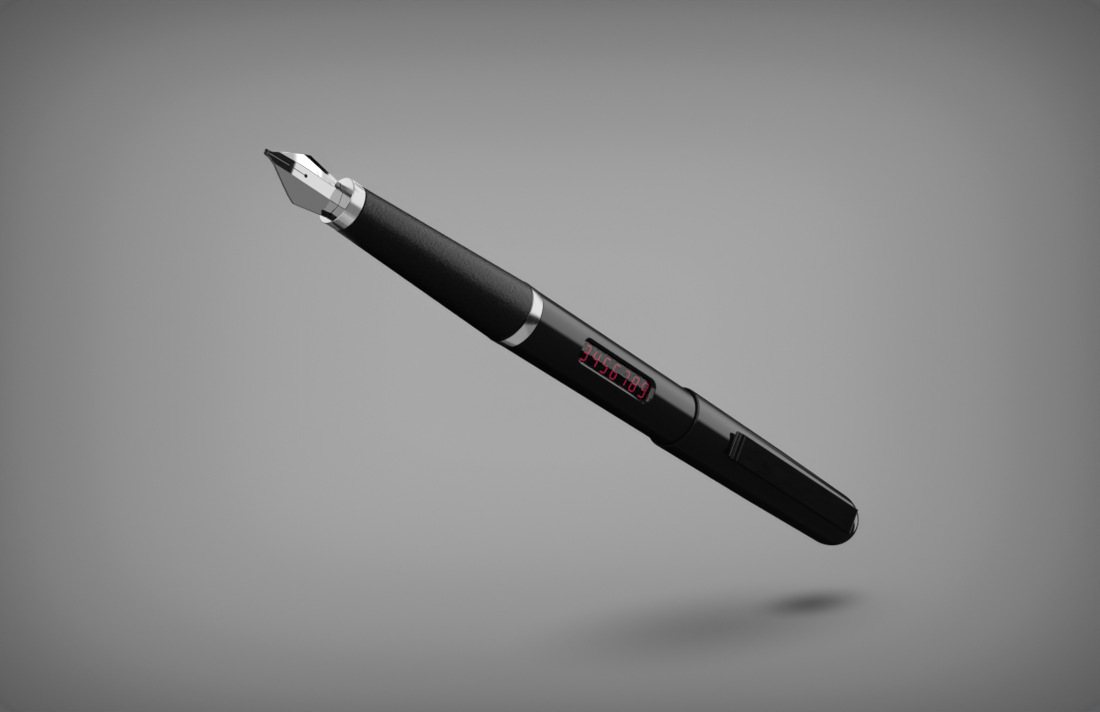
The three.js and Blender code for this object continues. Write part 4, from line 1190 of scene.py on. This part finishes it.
def paint_floor_light_and_shadow(shader):
    """Painted pool of light and painted shadows in the floor's colour."""
    forward = CAMERA_UP.cross(CAMERA_RIGHT).normalized()
    sight = shader.vector("SUBTRACT", shader.coordinates, CAMERA_PLACE, output="Vector")
    depth = shader.vector("DOT_PRODUCT", sight, forward)
    plane = shader.node("ShaderNodeCombineXYZ")
    for axis, way in (("X", CAMERA_RIGHT / VIEW_HALF_WIDTH), ("Y", CAMERA_UP / VIEW_HALF_HEIGHT)):
        along = shader.vector("DOT_PRODUCT", sight, way)
        shader.feed(plane.inputs[axis], shader.number("DIVIDE", along, depth))
    spot = plane.outputs["Vector"]
    distance = shader.vector("LENGTH", shader.vector("MULTIPLY", spot, spot, output="Vector"))
    ramp = shader.node("ShaderNodeValToRGB", {"Fac": shader.number("DIVIDE", distance, PAINTED_LIGHT_POOL_SPAN)})
    ramp.color_ramp.interpolation = "CARDINAL"
    elements = ramp.color_ramp.elements
    elements[1].position = PAINTED_LIGHT_POOL[-1][0]
    for position, _ in PAINTED_LIGHT_POOL[1:-1]:
        elements.new(position)
    for element, (_, share) in zip(elements, PAINTED_LIGHT_POOL):
        element.color = (*(FLOOR_PALE * share,) * 3, 1)
    colour = ramp.outputs["Color"]
    # Each painted shadow darkens the floor's colour in a soft ellipse.
    for middle, reach, slope, depth_share in PAINTED_SHADOWS:
        mapping = shader.node("ShaderNodeMapping", {
            "Location": (*middle, 0), "Rotation": (0, 0, math.radians(slope)),
            "Scale": (*reach, 1), "Vector": spot,
        }, vector_type="TEXTURE")
        away = shader.vector("LENGTH", mapping.outputs["Vector"])
        shade = shader.spread(away, 1 - depth_share, 1, 0, 1, "SMOOTHSTEP")
        dimmed = shader.node("ShaderNodeVectorMath", {0: colour, "Scale": shade}, operation="SCALE")
        colour = dimmed.outputs["Vector"]
    shader.set("Base Color", colour)


def make_floor():
    points = [(0, 0, -FLOOR_DROP)]
    faces = []
    for ring in range(FLOOR_RINGS):
        radius = FLOOR_RADIUS * (ring + 1) / FLOOR_RINGS
        base = 1 + ring * SMALL_ROUND
        for i, angle in enumerate(circle(SMALL_ROUND)):
            points.append((radius * math.cos(angle), radius * math.sin(angle), -FLOOR_DROP))
            a, b = base + i, base + (i + 1) % SMALL_ROUND
            faces.append((a - SMALL_ROUND, a, b, b - SMALL_ROUND) if ring else (0, a, b))
    floor = add_object("floor", points, faces)
    shader = Shader("pale floor", (FLOOR_PALE,) * 3, 1.0)
    shader.set("Specular IOR Level", 0.0)
    paint_floor_light_and_shadow(shader)
    floor.data.materials.append(shader.material)


make_floor()

# World: dim all round, with one broad soft box beyond the pen's upper side.
WORLD_LEVEL = 0.025
BOX_LEVEL = 1.9
BOX_TURN = (15, 30, 72, 130)
BOX_ALONG = (0.37, 0.42)
BOX_LEAN = 0.84
BOX_LEAN_FROM = 0.65
BOX_SPREAD = 3.0
END_CARD = ((-0.78, 0.62, 0.05), 0.82, 0.9, 1.3)
TIP_CARD = ((-0.5, 0.22, 0.8), 0.95, 0.975, 0.05)


def make_world():
    world = bpy.data.worlds.new("studio")
    bpy.context.scene.world = world
    world.use_nodes = True
    nodes = Nodes(world.node_tree)
    direction = nodes.node("ShaderNodeTexCoord").outputs["Generated"]
    x, y, z = nodes.node("ShaderNodeSeparateXYZ", {"Vector": direction}).outputs
    turn = nodes.number("ARCTAN2", y, z)
    first, full, fall, last = (math.radians(degrees) for degrees in BOX_TURN)
    offset = nodes.number("SUBTRACT", BOX_LEAN_FROM, x)
    leaning = nodes.number("MULTIPLY_ADD", offset, BOX_LEAN, turn)
    spreading = nodes.number("MULTIPLY_ADD", nodes.number("MAXIMUM", offset, 0), -BOX_SPREAD, turn)
    rise = nodes.spread(leaning, 0, 1, first, full, "SMOOTHSTEP")
    drop = nodes.spread(spreading, 1, 0, fall, last, "SMOOTHSTEP")
    along = nodes.spread(x, 0, 1, *BOX_ALONG, "SMOOTHSTEP")
    box = nodes.number("MULTIPLY", nodes.number("MULTIPLY", rise, drop), along)
    level = nodes.number("MULTIPLY_ADD", box, BOX_LEVEL, WORLD_LEVEL)
    for towards, outer, inner, strength in (END_CARD, TIP_CARD):
        aim = nodes.vector("DOT_PRODUCT", direction, Vector(towards).normalized())
        shine = nodes.spread(aim, 0, 1, outer, inner, "SMOOTHSTEP")
        level = nodes.number("MULTIPLY_ADD", shine, strength, level)
    background = nodes.tree.nodes["Background"]
    nodes.feed(background.inputs["Color"], (1, 1, 1, 1))
    nodes.feed(background.inputs["Strength"], level)


make_world()


def make_lamp(name, kind, energy, location, target, size):
    """A lamp that faces its target. size is an area's width in metres or a sun's angle."""
    data = bpy.data.lights.new(name, kind)
    data.energy = energy
    setattr(data, "angle" if kind == "SUN" else "size", size)
    lamp = bpy.data.objects.new(name, data)
    lamp.location = location
    lamp.rotation_mode = "QUATERNION"
    lamp.rotation_quaternion = (Vector(target) - Vector(location)).to_track_quat("-Z", "Y")
    lamp.visible_camera = False
    bpy.context.scene.collection.objects.link(lamp)
    return lamp


# A lamp from behind the camera's left lights the floor and throws the pen's soft shadow.
sun = make_lamp("floor lamp", "SUN", 1.15, (-0.664, -0.066, 0.506), (0, 0, 0), math.radians(14))
sun.visible_glossy = False

# A card under the pen's front end shines in the collar's disc.
disc = place(0, 0, 0)
card_way = Vector((-0.472, 0.254, -0.845))
make_lamp("collar card", "AREA", 0.32, disc + card_way * 0.38, disc, 0.25)

# Small cards round the nib light its near flank, and its far flank at the front and at the rear.
# Two more shine in the collar's disc as the nib's rear end sees it, and two in the near sides of
# the collar and the ring. None of them lights the rest.
def lit_parts(name, *parts):
    made = bpy.data.collections.new(name)
    for part in parts:
        made.objects.link(part)
    return made


nib_parts = lit_parts("nib parts", nib, tipping, collar)
bright_rings = lit_parts("bright rings", collar, ring)
for name, energy, spot, way, far, size, parts in (
    ("near nib card", 0.0079, (-6, -1, 1), (0.48, -0.54, 0.69), 0.045, 0.078, nib_parts),
    ("far nib card", 0.004, (-10, 2, 0.5), (0.3, 0.95, -0.08), 0.045, 0.034, nib_parts),
    ("rear nib card", 0.0082, (-3, 3, 0.5), (0.47, 0.52, -0.71), 0.045, 0.046, nib_parts),
    ("upper card", 0.04, (0, 0, 0), (-0.5, 0.52, 0.69), 0.1, 0.07, nib_parts),
    ("lower card", 0.08, (0, 0, 0), (-0.49, -0.81, 0.34), 0.1, 0.125, nib_parts),
    ("collar side card", 0.006, (1.8, 0, 0), (0.45, -0.85, 0.1), 0.045, 0.09, bright_rings),
    ("ring side card", 0.012, (46, 0, 0), (0.6, -0.75, 0.2), 0.045, 0.09, bright_rings),
):
    target = place(*spot)
    card = make_lamp(name, "AREA", energy, target + Vector(way).normalized() * far, target, size)
    card.light_linking.receiver_collection = parts


def make_flag(name, middle, along, across):
    """A black card that is seen in reflections only. along and across reach from its middle to its edges."""
    corners = ((-1, -1), (1, -1), (1, 1), (-1, 1))
    flag = add_object(name, [middle + along * u + across * v for u, v in corners], [(0, 1, 2, 3)])
    flag.data.materials.append(flag_cloth)
    for ray in ("camera", "diffuse", "transmission", "volume_scatter", "shadow"):
        setattr(flag, "visible_" + ray, False)


flag_cloth = Shader("flag cloth", (0.002, 0.002, 0.002), 1.0).material

# One darkens the nib's far rim, one the lower edges of the black pieces and one the cap's end.
rim_way = Vector((0.53, 0.81, 0.22)).normalized()
rim_along = (Vector((1, 0, 0)) - rim_way * rim_way.x).normalized()
rim_middle = place(-8, 3.7, 0) + rim_way * 0.03
make_flag("rim flag", rim_middle, rim_along * 0.0053, rim_way.cross(rim_along) * 0.0058)
for name, (x0, x1), (y0, y1), z in (
    ("long flag", (14, 190), (-60, 26), -15),
    ("end flag", (172, 260), (-60, 75), -16),
):
    middle = place((x0 + x1) / 2, (y0 + y1) / 2, z)
    make_flag(name, middle, Vector(((x1 - x0) / 2 * MM, 0, 0)), Vector((0, (y1 - y0) / 2 * MM, 0)))

bpy.context.scene.view_settings.view_transform = "Standard"
